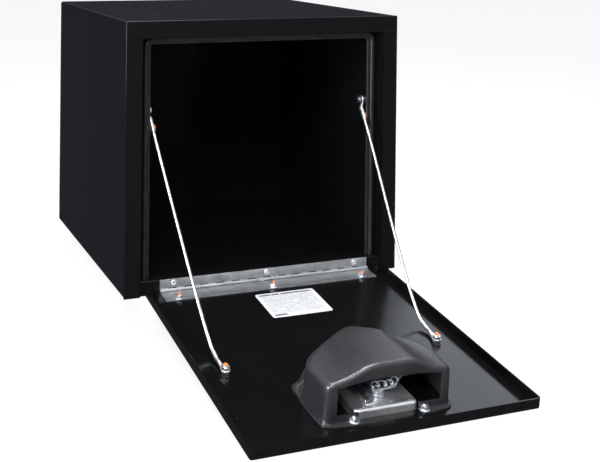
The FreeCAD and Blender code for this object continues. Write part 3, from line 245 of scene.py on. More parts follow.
M_BLACK = powder_black()
M_LEAF = metal("leaf_steel", (0.44, 0.45, 0.46), 0.44, (0.06, 1, 1), grain=900.0, vary=0.12, bumpy=0.10)
M_ZINC = metal("zinc_plate", (0.84, 0.86, 0.90), 0.34, grain=700.0, vary=0.08)
M_STAIN = metal("stainless_satin", (0.56, 0.57, 0.58), 0.26, (1, 0.08, 1), grain=800.0, vary=0.10)
M_DISH = metal("dish_satin", (0.95, 0.96, 0.97), 0.42, (1, 0.08, 1), grain=800.0, vary=0.10)
M_SPRING = metal("spring_wire", (0.88, 0.89, 0.91), 0.30, grain=900.0, vary=0.06)
M_TERM = metal("terminal_tin", (0.86, 0.85, 0.83), 0.34, grain=600.0, vary=0.08)
M_WIRE = metal("wire_rope", (0.78, 0.77, 0.72), 0.30, grain=1200.0, vary=0.08)
M_RUBBER = rubber("seal_rubber", 0.012, 0.30)
M_GASKET = rubber("gasket_rubber", 0.02, 0.7)
M_GUARD = guard_plastic()
M_ORANGE = plain("patch_orange", (0.80, 0.22, 0.05), 0.42)
M_DARK = plain("lock_brass", (0.45, 0.36, 0.16), 0.35)

# ------------------------------------------------------------------ mesh helpers
def make(name, verts, faces, mat, xf=None, body=None, replaces=(), smooth=True, recalc=True, auto=None):
    me = bpy.data.meshes.new(name)
    me.from_pydata([tuple(v) for v in verts], [], faces)
    if xf is not None:
        me.transform(xf)
    bm = bmesh.new()
    bm.from_mesh(me)
    bmesh.ops.remove_doubles(bm, verts=bm.verts, dist=1e-7)
    if recalc:
        bmesh.ops.recalc_face_normals(bm, faces=bm.faces)
    bm.to_mesh(me)
    bm.free()
    ob = bpy.data.objects.new(name, me)
    bpy.context.scene.collection.objects.link(ob)
    for mm in (mat if isinstance(mat, (list, tuple)) else [mat]):
        me.materials.append(mm)
    if smooth:
        for p in me.polygons:
            p.use_smooth = True
        if auto is not None:
            sharp_by_angle(me, auto)
    if body:
        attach(ob, body)
    if replaces:
        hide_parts(*replaces)
    return ob


def sharp_by_angle(me, deg):
    bm = bmesh.new()
    bm.from_mesh(me)
    lim = math.radians(deg)
    for e in bm.edges:
        if len(e.link_faces) == 2:
            e.smooth = e.calc_face_angle(0) < lim
        else:
            e.smooth = False
    bm.to_mesh(me)
    bm.free()


class Mesh(object):
    """collects verts and faces"""

    def __init__(self):
        self.v, self.f = [], []

    def add(self, verts, faces):
        o = len(self.v)
        self.v += [Vector(p) for p in verts]
        self.f += [tuple(i + o for i in q) for q in faces]

    def rings(self, rings, closed=True, cap0=True, cap1=True, loop=False):
        n = len(rings[0])
        verts = [p for r in rings for p in r]
        faces = []
        m = len(rings)
        for i in range(m if loop else m - 1):
            j = (i + 1) % m
            for k in range(n if closed else n - 1):
                l = (k + 1) % n
                faces.append((i * n + k, i * n + l, j * n + l, j * n + k))
        if not loop:
            if cap0:
                faces.append(tuple(range(n - 1, -1, -1)))
            if cap1:
                faces.append(tuple((m - 1) * n + k for k in range(n)))
        self.add(verts, faces)


def frame_z(axis):
    z = Vector(axis).normalized()
    x = Vector((1, 0, 0)) if abs(z.x) < 0.9 else Vector((0, 1, 0))
    x = (x - z * x.dot(z)).normalized()
    return Matrix((x, z.cross(x), z)).transposed().to_4x4()


def place(m, o, pos, axis=(0, 0, 1), spin=0.0):
    """add Mesh o to Mesh m, its z along axis"""
    mt = Matrix.Translation(Vector(pos)) @ frame_z(axis) @ Matrix.Rotation(math.radians(spin), 4, "Z")
    m.add([mt @ p for p in o.v], o.f)


def lathe(profile, seg=48):
    """closed or open profile of (r, z); r=0 ends collapse"""
    m = Mesh()
    rings = []
    for r, z in profile:
        rings.append([Vector((r * math.cos(2 * math.pi * k / seg), r * math.sin(2 * math.pi * k / seg), z)) for k in range(seg)])
    m.rings(rings, cap0=profile[0][0] > 1e-6, cap1=profile[-1][0] > 1e-6)
    return m


def washer(ro, ri, h, ch=0.15, seg=40):
    prof = [(ri, ch), (ri + ch, 0), (ro - ch, 0), (ro, ch), (ro, h - ch), (ro - ch, h), (ri + ch, h), (ri, h - ch)]
    m = Mesh()
    rings = [[Vector((r * math.cos(2 * math.pi * k / seg), r * math.sin(2 * math.pi * k / seg), z)) for k in range(seg)] for r, z in prof]
    m.rings(rings, loop=True)
    return m


def hexnut(af, h, bore, flange=0.0, nyl=False):
    seg = 72
    R = af / 2

    def hx(k):
        a = 2 * math.pi * k / seg
        b = (a + math.pi / 6) % (math.pi / 3) - math.pi / 6
        return a, R / math.cos(b)
    prof = []
    rings = []
    ch = 0.35
    rc = R * 0.985

    def ring(fn):
        out = []
        for k in range(seg):
            a, rh = hx(k)
            r, z = fn(rh)
            out.append(Vector((r * math.cos(a), r * math.sin(a), z)))
        return out
    t30 = math.tan(math.radians(30))
    base = 0.0
    rings.append(ring(lambda rh: (bore, base + ch)))
    rings.append(ring(lambda rh: (bore + ch, base)))
    if flange > 0:
        rings.append(ring(lambda rh: (flange - 0.15, 0)))
        rings.append(ring(lambda rh: (flange, 0.25)))
        rings.append(ring(lambda rh: (flange - 0.1, 0.8)))
        rings.append(ring(lambda rh: (max(rh, flange - 1.2), 1.25)))
        rings.append(ring(lambda rh: (rh, 1.6)))
    else:
        rings.append(ring(lambda rh: (rc, base)))
        rings.append(ring(lambda rh: (rh, base + max(0, (rh - rc) * t30))))
    for q in (0.35, 0.7):
        rings.append(ring(lambda rh: (rh, h * q)))
    rings.append(ring(lambda rh: (rh, h - max(0, (rh - rc) * t30))))
    rings.append(ring(lambda rh: (rc, h)))
    if nyl:
        rings.append(ring(lambda rh: (R * 0.86, h)))
        rings.append(ring(lambda rh: (R * 0.86, h + 0.8)))
        rings.append(ring(lambda rh: (R * 0.80, h + 1.1)))
        rings.append(ring(lambda rh: (bore + 0.5, h + 1.1)))
        rings.append(ring(lambda rh: (bore, h + 0.7)))
    else:
        rings.append(ring(lambda rh: (bore + ch, h)))
        rings.append(ring(lambda rh: (bore, h - ch)))
    m = Mesh()
    m.rings(rings, loop=True)
    return m


def threaded(r, length, pitch=0.9, depth=0.28, seg=20, tip=0.5, start=0.0):
    """rod along z with a helical thread from start to length"""
    m = Mesh()
    rings = []
    step = pitch / 5.0
    z = 0.0
    zs = [0.0]
    if start > 0:
        zs.append(start)
    n = max(2, int((length - start) / step))
    for i in range(1, n + 1):
        zs.append(start + (length - start) * i / n)
    for z in zs:
        ring = []
        for k in range(seg):
            a = 2 * math.pi * k / seg
            ph = (z / pitch - k / seg) % 1.0
            tri = 1 - abs(2 * ph - 1)
            d = depth * (1 - tri) if z > start + 1e-6 else 0.0
            rr = r - d
            if z > length - tip:
                rr = min(rr, r - (z - (length - tip)) * 0.8)
            ring.append(Vector((rr * math.cos(a), rr * math.sin(a), z)))
        rings.append(ring)
    m.rings(rings)
    return m


def smooth_path(pts, n):
    """catmull-rom through points, n samples"""
    P = [Vector(p) for p in pts]
    P = [P[0] * 2 - P[1]] + P + [P[-1] * 2 - P[-2]]
    out = []
    segs = len(P) - 3
    for i in range(n):
        u = i / (n - 1) * segs
        k = min(int(u), segs - 1)
        t = u - k
        a, b, c, d = P[k:k + 4]
        out.append(0.5 * ((2 * b) + (-a + c) * t + (2 * a - 5 * b + 4 * c - d) * t * t + (-a + 3 * b - 3 * c + d) * t ** 3))
    return out


def frames_along(path, up=Vector((0, 0, 1))):
    n = len(path)
    T = []
    for i in range(n):
        a = path[max(0, i - 1)]
        b = path[min(n - 1, i + 1)]
        T.append((b - a).normalized())
    x = (up - T[0] * up.dot(T[0]))
    if x.length < 1e-6:
        x = Vector((1, 0, 0)) - T[0] * T[0].x
    x.normalize()
    out = []
    for i in range(n):
        if i:
            q = T[i - 1].rotation_difference(T[i])
            x = (q @ x)
            x = (x - T[i] * x.dot(T[i])).normalized()
        out.append((path[i], x, T[i].cross(x), T[i]))
    return out


def sweep(path, rfun, seg=16, up=Vector((0, 0, 1)), cap=True):
    """rfun(i, angle) -> radius"""
    m = Mesh()
    rings = []
    for i, (p, x, y, t) in enumerate(frames_along(path, up)):
        rings.append([p + x * (rfun(i, 2 * math.pi * k / seg) * math.cos(2 * math.pi * k / seg)) +
                      y * (rfun(i, 2 * math.pi * k / seg) * math.sin(2 * math.pi * k / seg)) for k in range(seg)])
    m.rings(rings, cap0=cap, cap1=cap)
    return m


def wire(path, r, seg=12, up=Vector((0, 0, 1))):
    """round wire with rounded ends"""
    n = len(path)
    ext = []
    d0 = (path[0] - path[1]).normalized()
    d1 = (path[-1] - path[-2]).normalized()
    pts = [path[0] + d0 * r * 0.55, path[0] + d0 * r * 0.35] + list(path) + [path[-1] + d1 * r * 0.35, path[-1] + d1 * r * 0.55]
    rad = [r * 0.35, r * 0.8] + [r] * n + [r * 0.8, r * 0.35]
    return sweep(pts, lambda i, a: rad[i], seg, up)


def bevel(ob, width_mm, segs=2, angle=35):
    b = ob.modifiers.new("edge", "BEVEL")
    b.width = width_mm / 1000.0
    b.segments = segs
    b.limit_method = "ANGLE"
    b.angle_limit = math.radians(angle)
    b.harden_normals = False
    return b


# ------------------------------------------------------------------ CAD nodes that stay
CAD_MAT = {
    "wrap": M_BLACK, "back_panel": M_BLACK, "post_left": M_BLACK, "post_right": M_BLACK, "top_rail": M_BLACK,
    "sill": M_BLACK, "stay_bracket_left": M_BLACK, "stay_bracket_right": M_BLACK, "door_seal": M_RUBBER,
    "hinge_box_leaf": M_LEAF, "hinge_door_leaf": M_LEAF, "hinge_pin": M_STAIN, "hinge_screws": M_ZINC,
    "door_pan": M_BLACK, "hinge_bolts": M_ZINC, "hinge_nuts": M_ZINC, "stay_studs": M_ZINC, "stay_nuts": M_ZINC,
    "thread_patches": M_ORANGE, "anchor_bolts": M_ZINC, "anchor_spacers": M_ZINC, "anchor_nuts": M_ZINC,
    "anchor_patches": M_ORANGE, "stay_cable_left": M_WIRE, "stay_cable_right": M_WIRE, "stay_lugs_upper": M_TERM,
    "stay_lugs_lower": M_TERM, "data_sticker": None, "latch_dish": M_STAIN, "dish_gasket": M_GASKET,
    "dish_studs": M_ZINC, "guard_nuts": M_ZINC, "shaft_bushing": M_ZINC, "latch_shaft": M_ZINC, "handle_pin": M_STAIN,
    "t_handle": M_STAIN, "key_plug": M_DARK, "pawl": M_ZINC, "pawl_nut": M_ZINC, "pawl_spring": M_SPRING,
    "return_spring": M_SPRING, "pawl_stop": M_ZINC, "latch_guard": M_GUARD,
}
for n, o in NODES.items():
    mt = CAD_MAT.get(n)
    o.data.materials.clear()
    if mt is not None:
        o.data.materials.append(mt)

for n, w in (("wrap", 0.55), ("back_panel", 0.55), ("post_left", 0.9), ("post_right", 0.9), ("top_rail", 0.9), ("sill", 0.6),
             ("stay_bracket_left", 0.5), ("stay_bracket_right", 0.5), ("door_pan", 0.6), ("hinge_box_leaf", 0.2),
             ("hinge_door_leaf", 0.2), ("t_handle", 0.5)):
    bevel(NODES[n], w)

# ------------------------------------------------------------------ pieces
# ------------------------------------------------------------------ guard
def open_spline(pts):
    P = [Vector((x, s, 0)) for x, s in pts]
    m = len(P)
    dense = []
    for i in range(m - 1):
        b, c = P[i], P[i + 1]
        m0 = (c - P[i - 1]) * 0.32 if i > 0 else Vector((0, c.y - b.y, 0)) * 0.64
        m1 = (P[i + 2] - b) * 0.32 if i < m - 2 else Vector((0, c.y - b.y, 0)) * 0.64
        for j in range(24):
            t = j / 24
            t2, t3 = t * t, t * t * t
            dense.append(b * (2 * t3 - 3 * t2 + 1) + m0 * (t3 - 2 * t2 + t) + c * (-2 * t3 + 3 * t2) + m1 * (t3 - t2))
    dense.append(P[-1])
    return dense


def bell(q, p=6):
    return 1.0 / (1.0 + abs(q) ** p)


def guard_height(x, s):
    k = min(1.0, max(0.0, (s - 237.0) / 104.0))
    hc = 60.5 + 9.8 * (k ** 0.9)
    w = 39.5 + 9.5 * k
    base = 53.2 + 0.2 * k
    side = (min(1.0, abs(x) / 88.0)) ** 4
    return base + (hc - base) * bell(x / w, 11 - 6.6 * k) - 3.0 * side


def guard_mouth_top(x):
    return 46.0 + 6.5 * bell(x / 58.0, 4)


def build_guard():
    half = [(0, 236.6), (9, 239.0), (24, 247.6), (36, 254.6), (44.5, 256.2), (53, 259), (66, 266.5), (78.5, 276.5), (85.6, 286.5),
            (88.0, 298), (87.6, 315), (86.4, 331)]
    run = open_spline([(-x, s) for x, s in reversed(half[1:])] + half)
    # resample by length
    L = [0.0]
    for a, b in zip(run, run[1:]):
        L.append(L[-1] + (b - a).length)
    N = 150
    rs = []
    j = 0
    for i in range(N):
        d = L[-1] * i / (N - 1)
        while j < len(L) - 2 and L[j + 1] < d:
            j += 1
        t = (d - L[j]) / max(1e-9, L[j + 1] - L[j])
        rs.append(run[j].lerp(run[j + 1], t))
    # front corners and front line
    def corner(cx, cs, r, a0, a1, n):
        return [Vector((cx + r * math.cos(a0 + (a1 - a0) * k / n), cs + r * math.sin(a0 + (a1 - a0) * k / n), 0)) for k in range(1, n + 1)]
    r = 8.5
    right_c = corner(86.0 - r, 332.8, r, 0.0, math.pi / 2, 8)
    left_c = corner(-86.0 + r, 332.8, r, math.pi / 2, math.pi, 8)[:-1]
    xs = [76.0, 74.0, 72.0]
    x = 72.0
    stops = [68, 64, 60, 56, 52, 48, 44, 42, 39, 36, 32, 28, 24, 20, 16, 12, 8, 4, 0]
    xs += stops
    xs += [-q for q in reversed(xs[:-1])]
    front = [Vector((q, 341.3, 0)) for q in xs]
    out = rs + right_c + front + left_c
    M = len(out)
    # outward normals in plan
    nrm = []
    for i in range(M):
        a, b = out[i - 1], out[(i + 1) % M]
        d = (b - a).normalized()
        nrm.append(Vector((-d.y, d.x, 0)) * -1)
    # make sure they point away from the middle
    for i in range(M):
        if nrm[i].dot(out[i] - Vector((0, 300, 0))) < 0:
            nrm[i] = -nrm[i]
    # flange outline by rays from the middle
    poly = [(-90.5, 340), (-90.5, 263.5), (-88.5, 260.5), (-73, 252), (-56, 232), (-40, 229.2), (40, 229.2), (56, 232), (73, 252), (88.5, 260.5),
            (90.5, 263.5), (90.5, 340), (84, 346.5), (56, 350.5), (40.4, 351.6), (-40.4, 351.6), (-56, 350.5), (-84, 346.5)]
    poly = [Vector((a, b, 0)) for a, b in poly]
    ctr = Vector((0, 300, 0))

    def hit(d):
        best = None
        for i in range(len(poly)):
            a, b = poly[i] - ctr, poly[(i + 1) % len(poly)] - ctr
            e = b - a
            den = d.x * e.y - d.y * e.x
            if abs(den) < 1e-9:
                continue
            tt = (a.x * e.y - a.y * e.x) / den
            uu = (a.x * d.y - a.y * d.x) / den
            if tt > 0 and -1e-6 <= uu <= 1 + 1e-6 and (best is None or tt < best):
                best = tt
        return ctr + d * best
    fl = []
    for i in range(M):
        p = out[i]
        if p.y > 341.2:          # straight front: flange straight ahead
            q = Vector((p.x, 351.6 if abs(p.x) < 41 else 351.6 - (abs(p.x) - 41) * 0.105, 0))
        else:
            q = hit((p - ctr).normalized())
        if (q - ctr).length < (p - ctr).length + 2.5:
            q = p + nrm[i] * 3.0
        fl.append(q)
    for _ in range(3):
        fl = [fl[i] if out[i].y > 341.2 else (fl[i - 1] + fl[i] * 2 + fl[(i + 1) % M]) * 0.25 for i in range(M)]
    rings = []
    foot = [out[i] + nrm[i] * 1.6 for i in range(M)]

    def lay(pts, ts):
        rings.append([Vector((p.x, -p.y, t - 3.3)) for p, t in zip(pts, ts)])
    lay(fl, [4.4] * M)
    for q, h in ((0.18, 4.5), (0.24, 5.3), (0.32, 5.4), (0.38, 4.5), (0.62, 4.5), (0.68, 5.3), (0.76, 5.4), (0.82, 4.5)):
        lay([f.lerp(g, q) for f, g in zip(fl, foot)], [h] * M)
    lay([foot[i] + nrm[i] * 0.6 for i in range(M)], [4.6] * M)
    lay(foot, [5.4] * M)
    base_rings = len(rings)
    R = 6.4
    tops = [guard_height(p.x, p.y) for p in out]
    lip = 13.0
    for q in (0.5, 1.0):
        lay([foot[i].lerp(out[i], 0.15 * q) for i in range(M)], [5.4 + (lip - 5.4) * q] * M)
    ring_lip = len(rings) - 1
    mt = [guard_mouth_top(p.x) if p.y > 341.2 and abs(p.x) < 75 else 45.0 for p in out]
    K = 8
    for k in range(1, K + 1):
        q = k / K
        lay([foot[i].lerp(out[i], 0.15 + 0.75 * q) for i in range(M)], [lip + (mt[i] - lip) * q for i in range(M)])
    ring_mouth = len(rings) - 1
    edge = [min(h - R * 0.9, h - R) if h - R > m_ + 0.4 else m_ + 0.4 for h, m_ in zip(tops, mt)]
    for q in (0.5, 1.0):
        lay([foot[i].lerp(out[i], 0.9 + 0.1 * q) for i in range(M)], [mt[i] + (edge[i] - mt[i]) * q for i in range(M)])
    # rounding and top, shrinking to the spine
    sp0, sp1 = Vector((0, 318, 0)), Vector((0, 262, 0))
    c = []
    for p in out:
        t = max(0, min(1, (p - sp0).dot(sp1 - sp0) / (sp1 - sp0).length_squared))
        c.append(sp0.lerp(sp1, t))
    for k in range(1, 9):
        a = math.pi / 2 * k / 8
        ins = R * (1 - math.cos(a))
        pts, ts = [], []
        for i in range(M):
            d = (c[i] - out[i]).normalized()
            inward = -nrm[i] if (-nrm[i]).dot(d) > 0 else d
            p = out[i] + (inward * 0.75 + d * 0.25).normalized() * ins
            hh = guard_height(p.x, p.y)
            pts.append(p)
            ts.append(edge[i] + (hh - edge[i]) * math.sin(a))
        lay(pts, ts)
        last = pts
    for q in (0.06, 0.12, 0.2, 0.3, 0.4, 0.5, 0.6, 0.7, 0.8, 0.9, 0.97):
        pts = [p.lerp(cc, q) for p, cc in zip(last, c)]
        lay(pts, [guard_height(p.x, p.y) for p in pts])
    verts = [p for rg in rings for p in rg]
    faces = []
    nr = len(rings)
    for i in range(nr - 1):
        for k in range(M):
            l = (k + 1) % M
            pa, pb = out[k], out[l]
            xm = (pa.x + pb.x) / 2
            frontal = pa.y > 341.2 and pb.y > 341.2
            if frontal and abs(xm) < 42 and i < ring_lip:
                continue
            if frontal and abs(xm) < 72 and ring_lip <= i < ring_mouth:
                continue
            faces.append((i * M + k, i * M + l, (i + 1) * M + l, (i + 1) * M + k))
    o = (nr - 1) * M
    cidx = len(verts)
    # close over the spine with one face on the last ring; cm, the average of the last ring, is computed but not used
    cm = sum((verts[o + k] for k in range(M)), Vector()) / M
    faces.append(tuple(o + k for k in range(M)))
    ob = make("latch_guard_shell", verts, faces, M_GUARD, DOOR, None, (), recalc=False)
    me = ob.data
    bm = bmesh.new()
    bm.from_mesh(me)
    bmesh.ops.recalc_face_normals(bm, faces=bm.faces)
    # outward means away from the inside point
    inside = DOOR @ D(0, 300, 20)
    up = sum(1 for f in bm.faces if f.normal.dot(f.calc_center_median() - inside) > 0)
    if up < len(bm.faces) / 2:
        bmesh.ops.reverse_faces(bm, faces=bm.faces)
    bm.to_mesh(me)
    bm.free()
    so = ob.modifiers.new("wall", "SOLIDIFY")
    so.thickness = 0.0028
    so.offset = -1.0
    so.use_even_offset = False
    so.use_quality_normals = True
    so.thickness_clamp = 0.0
    bevel(ob, 0.5, 2, 50)
    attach(ob, "door")
    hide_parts("latch_guard")
    return ob


build_guard()

# ------------------------------------------------------------------ threaded parts
LEAF_T = 2.7
HX = (3.0 - 152.4, 3.0, 3.0 + 152.4)
bolts, nuts, tips = Mesh(), Mesh(), Mesh()
random.seed(11)
for x in HX:
    spin = random.uniform(0, 60)
    head = lathe([(0, -1.7), (2.2, -1.6), (3.6, -1.15), (4.4, -0.45), (4.6, 0.0), (2.4, 0.0)], 40)
    place(bolts, head, D(x, 22, 0))
    place(bolts, threaded(2.4, 8.2, 0.8, 0.26, start=2.0), D(x, 22, 0))
    place(nuts, washer(6.8, 2.5, 1.0), D(x, 22, LEAF_T))
    place(nuts, hexnut(9.4, 4.2, 2.35), D(x, 22, LEAF_T + 1.0), spin=spin)
    place(tips, lathe([(2.36, 0), (2.44, 0.3), (2.30, 0.8), (2.42, 1.2), (2.25, 1.6), (2.0, 2.2), (1.4, 2.5), (0, 2.55)], 28), D(x, 22, 7.9))
SX = (-158.0, 158.0)
sb, sn = Mesh(), Mesh()
for x in SX:
    place(sb, lathe([(0, -2.1), (2.5, -2.0), (4.6, -1.5), (5.8, -0.6), (6.0, 0.0), (3.0, 0.0)], 44), D(x, 212.7, 0))
    place(sb, threaded(3.0, 12.6, 1.0, 0.32, start=1.6), D(x, 212.7, 0))
    place(sn, hexnut(10.0, 4.0, 2.95), D(x, 212.7, 1.5), spin=random.uniform(0, 60))
    place(sn, hexnut(10.0, 4.2, 2.95), D(x, 212.7, 7.0), spin=random.uniform(0, 60))
    place(tips, lathe([(2.95, 0), (3.04, 0.4), (2.9, 0.9), (3.0, 1.3), (2.7, 1.8), (2.2, 2.2), (0, 2.3)], 28), D(x, 212.7, 12.4))
make("hinge_bolts_v", bolts.v, bolts.f, M_ZINC, DOOR, "door", ["hinge_bolts"], auto=35)
make("hinge_nuts_v", nuts.v, nuts.f, M_ZINC, DOOR, "door", ["hinge_nuts"], auto=28)
make("stay_studs_v", sb.v, sb.f, M_ZINC, DOOR, "door", ["stay_studs"], auto=35)
make("stay_nuts_v", sn.v, sn.f, M_ZINC, DOOR, "door", ["stay_nuts"], auto=28)
make("thread_patches_v", tips.v, tips.f, M_ORANGE, DOOR, "door", ["thread_patches"], auto=60)

gs, gn = Mesh(), Mesh()
for a in (-48.6, 48.6):
    for s in (343.2, 241.5):
        place(gs, threaded(2.5, 12.2, 0.8, 0.26), D(a, s, -1.0))
        place(gn, hexnut(10.2, 5.2, 2.45, flange=6.9), D(a, s, 4.5), spin=random.uniform(0, 60))
make("dish_studs_v", gs.v, gs.f, M_ZINC, DOOR, "door", ["dish_studs"], auto=35)
make("guard_nuts_v", gn.v, gn.f, M_ZINC, DOOR, "door", ["guard_nuts"], auto=28)

# ------------------------------------------------------------------ latch works
LC = 312.0


def rounded_loop(hx, s0, s1, r, nc=8, ns=5):
    """plan loop of a rounded rectangle, same count for any size"""
    pts = []
    cs = [(hx - r, s1 - r, 0), (-hx + r, s1 - r, 90), (-hx + r, s0 + r, 180), (hx - r, s0 + r, 270)]
    for i, (cx, cy, a0) in enumerate(cs):
        for k in range(nc + 1):
            a = math.radians(a0 + 90.0 * k / nc)
            pts.append((cx + r * math.cos(a), cy + r * math.sin(a)))
        nx_, ny_, na = cs[(i + 1) % 4]
        e0 = pts[-1]
        a = math.radians(na)
        e1 = (nx_ + r * math.cos(a), ny_ + r * math.sin(a))
        for k in range(1, ns):
            pts.append((e0[0] + (e1[0] - e0[0]) * k / ns, e0[1] + (e1[1] - e0[1]) * k / ns))
    return pts


def build_dish():
    top, low = 12.0, -1.5
    rings = []

    def lay(hx, s0, s1, r, t):
        rings.append([D(x, q, t) for x, q in rounded_loop(hx, s0, s1, r)])
    lay(59.0, 235.0, 352.0, 8.0, low - 0.15)
    lay(58.8, 235.2, 351.8, 7.8, low)
    lay(47.2, 255.3, 340.2, 9.0, low)
    for k in range(1, 6):                       # root radius
        a = math.pi / 2 * k / 5
        g = 2.6 * (1 - math.sin(a))
        lay(44.7 + g, 257.8 - g, 337.7 + g, 6.5 + g, low + 2.6 * (1 - math.cos(a)))
    lay(44.3, 258.2, 337.3, 6.3, 5.0)
    R = 3.8
    for k in range(0, 9):                       # draw radius
        a = math.pi / 2 * k / 8
        g = R * (1 - math.cos(a))
        lay(44.0 - g, 258.5 + g, 337.0 - g, max(1.2, 6.0 - g * 0.8), top - R + R * math.sin(a))
    lay(37.5, 261.8, 333.7, 3.0, top)
    last = rounded_loop(37.5, 261.8, 333.7, 3.0)
    for q, r in ((0.5, None), (0.8, None), (1.0, 8.0)):
        ring = []
        for x, y in last:
            d = Vector((x, y - LC, 0))
            c = d.normalized() * 8.0
            e = d.lerp(c, q)
            ring.append(D(e.x, LC + e.y, top))
        rings.append(ring)
    m = Mesh()
    m.rings(rings, cap0=False, cap1=False)
    ob = make("latch_dish_v", m.v, m.f, M_DISH, DOOR, "door", ["latch_dish"], recalc=False, auto=40)
    me = ob.data
    bm = bmesh.new()
    bm.from_mesh(me)
    bmesh.ops.recalc_face_normals(bm, faces=bm.faces)
    flat = max(bm.faces, key=lambda f: f.calc_area())
    up = DOOR.to_3x3() @ Vector((0, 0, 1))
    if flat.normal.dot(up) < 0:
        bmesh.ops.reverse_faces(bm, faces=bm.faces)
    bm.to_mesh(me)
    bm.free()
    so = ob.modifiers.new("gauge", "SOLIDIFY")
    so.thickness = 0.0012
    so.offset = -1.0
    so.use_even_offset = False
    return ob


def strap(path, wfun, th, rnd=0.35):
    """flat bar swept along a path in the x-t plane; path points are door points"""
    rings = []
    n = len(path)
    for i, p in enumerate(path):
        a, b = path[max(0, i - 1)], path[min(n - 1, i + 1)]
        t = (b - a).normalized()
        side = Vector((0, -1, 0))
        up = side.cross(t).normalized()
        if up.z < 0:
            up = -up
        w = wfun(i / (n - 1)) / 2
        h = th / 2
        ring = []
        for sx, sz, a0 in ((1, 1, 0), (-1, 1, 90), (-1, -1, 180), (1, -1, 270)):
            for k in range(4):
                an = math.radians(a0 + 30 * k)
                ring.append(p + side * (sx * (w - rnd) + rnd * math.cos(an)) + up * (sz * (h - rnd) + rnd * math.sin(an)))
        rings.append(ring)
    m = Mesh()
    m.rings(rings)
    return m


build_dish()

# hub: flanged hex bushing, thin washer, then the nut below the strap
hub = Mesh()
place(hub, hexnut(17.6, 5.2, 5.25, flange=11.4), D(0, LC, 12.0), spin=14)
place(hub, washer(7.6, 5.3, 0.9), D(0, LC, 17.25))
make("shaft_bushing_v", hub.v, hub.f, M_ZINC, DOOR, "door", ["shaft_bushing"], auto=28)

pn = Mesh()
place(pn, hexnut(14.6, 3.7, 5.02), D(0, LC, 18.25), spin=41)
make("pawl_nut_v", pn.v, pn.f, M_ZINC, DOOR, "latch", ["pawl_nut"], auto=28)

kp = [D(x, LC - 3.6, t) for x, t in ((-11.5, 23.25), (0, 23.25), (12, 23.25), (17.5, 23.5), (21.5, 25.6), (25.5, 30.8), (29.5, 34.2), (35, 34.85),
                               (46, 34.75), (62, 34.75))]
pw = strap(smooth_path(kp, 90), lambda q: 24.5 - 7.5 * min(1.0, max(0.0, (q - 0.42) / 0.4)) - 2.6 * max(0.0, (q - 0.8) / 0.2) ** 2 - 2.0 * max(0.0, 1 - q / 0.05) ** 2, 2.9)
stk = lathe([(5.0, 0), (5.0, 0.9), (4.7, 1.5), (3.6, 1.75), (1.4, 1.5), (0, 1.45)], 40)
place(pw, stk, D(0, LC, 23.9))
make("pawl_v", pw.v, pw.f, M_ZINC, DOOR, "latch", ["pawl"], auto=35)

# tension spring lying along the strap, loops opening towards the front
pts = []
rr, per = 3.3, 36
ctr = [D(-9.5, LC + 5.4, 29.6), D(-3.3, LC + 5.4, 29.3), D(7.6, LC + 5.4, 29.1), D(16.2, LC + 5.4, 29.4), D(22.4, LC + 5.0, 33.2)]
cl = smooth_path(ctr, 4 * per + 1)
e1, e2 = Vector((0, 0, 1)), Vector((0.86, -0.51, 0)).normalized()
for i, c in enumerate(cl):
    a = 2 * math.pi * i / per + 2.6
    pts.append(c + e1 * (rr * math.cos(a)) + e2 * (rr * math.sin(a)))
sp = wire(pts, 1.0, 12)
make("pawl_spring_v", sp.v, sp.f, M_SPRING, DOOR, "latch", ["pawl_spring"])

# torsion spring: two turns round the hub, legs lying back over the dish
rs = Mesh()
pts = [D(-17.5, LC - 20, 19.2), D(-13.0, LC - 10, 18.2)]
n = 60
for i in range(n + 1):
    a = math.pi * 1.02 + 2 * math.pi * 1.5 * i / n
    pts.append(D(9.3 * math.cos(a), LC + 9.3 * math.sin(a), 17.2 - 2.6 * i / n))
pts += [D(6.5, LC - 10.5, 14.3), D(-3.0, LC - 19.0, 13.9)]
w_ = wire(pts, 0.75, 10)
rs.add(w_.v, w_.f)
make("return_spring_v", rs.v, rs.f, M_SPRING, DOOR, "door", ["return_spring"])

# stop bracket: foot spot-welded to the dish, two folded ears
st = Mesh()


def plate(m, x0, x1, s0, s1, t0, t1, ch=0.3):
    rings = []
    for tt, c in ((t0, ch), (t0 + ch, 0), (t1 - ch, 0), (t1, ch)):
        rings.append([D(x, q, tt) for x, q in rounded_loop((x1 - x0) / 2 - c, s0 + c, s1 - c, 0.8, 4, 2)])
    cx = (x0 + x1) / 2
    rings = [[p + Vector((cx, 0, 0)) for p in r] for r in rings]
    m.rings(rings)


plate(st, -24.5, -12.8, 291.0, 329.5, 12.02, 13.5)
plate(st, -14.3, -12.8, 291.0, 329.5, 13.0, 20.6)
plate(st, -24.5, -23.0, 294.0, 327.0, 13.0, 17.0)
for q in (298.0, 311.0, 323.5):
    place(st, lathe([(1.9, 0), (1.8, 0.35), (1.2, 0.55), (0, 0.6)], 24), D(-18.8, q, 13.4))
make("pawl_stop_v", st.v, st.f, M_ZINC, DOOR, "door", ["pawl_stop"], auto=35)


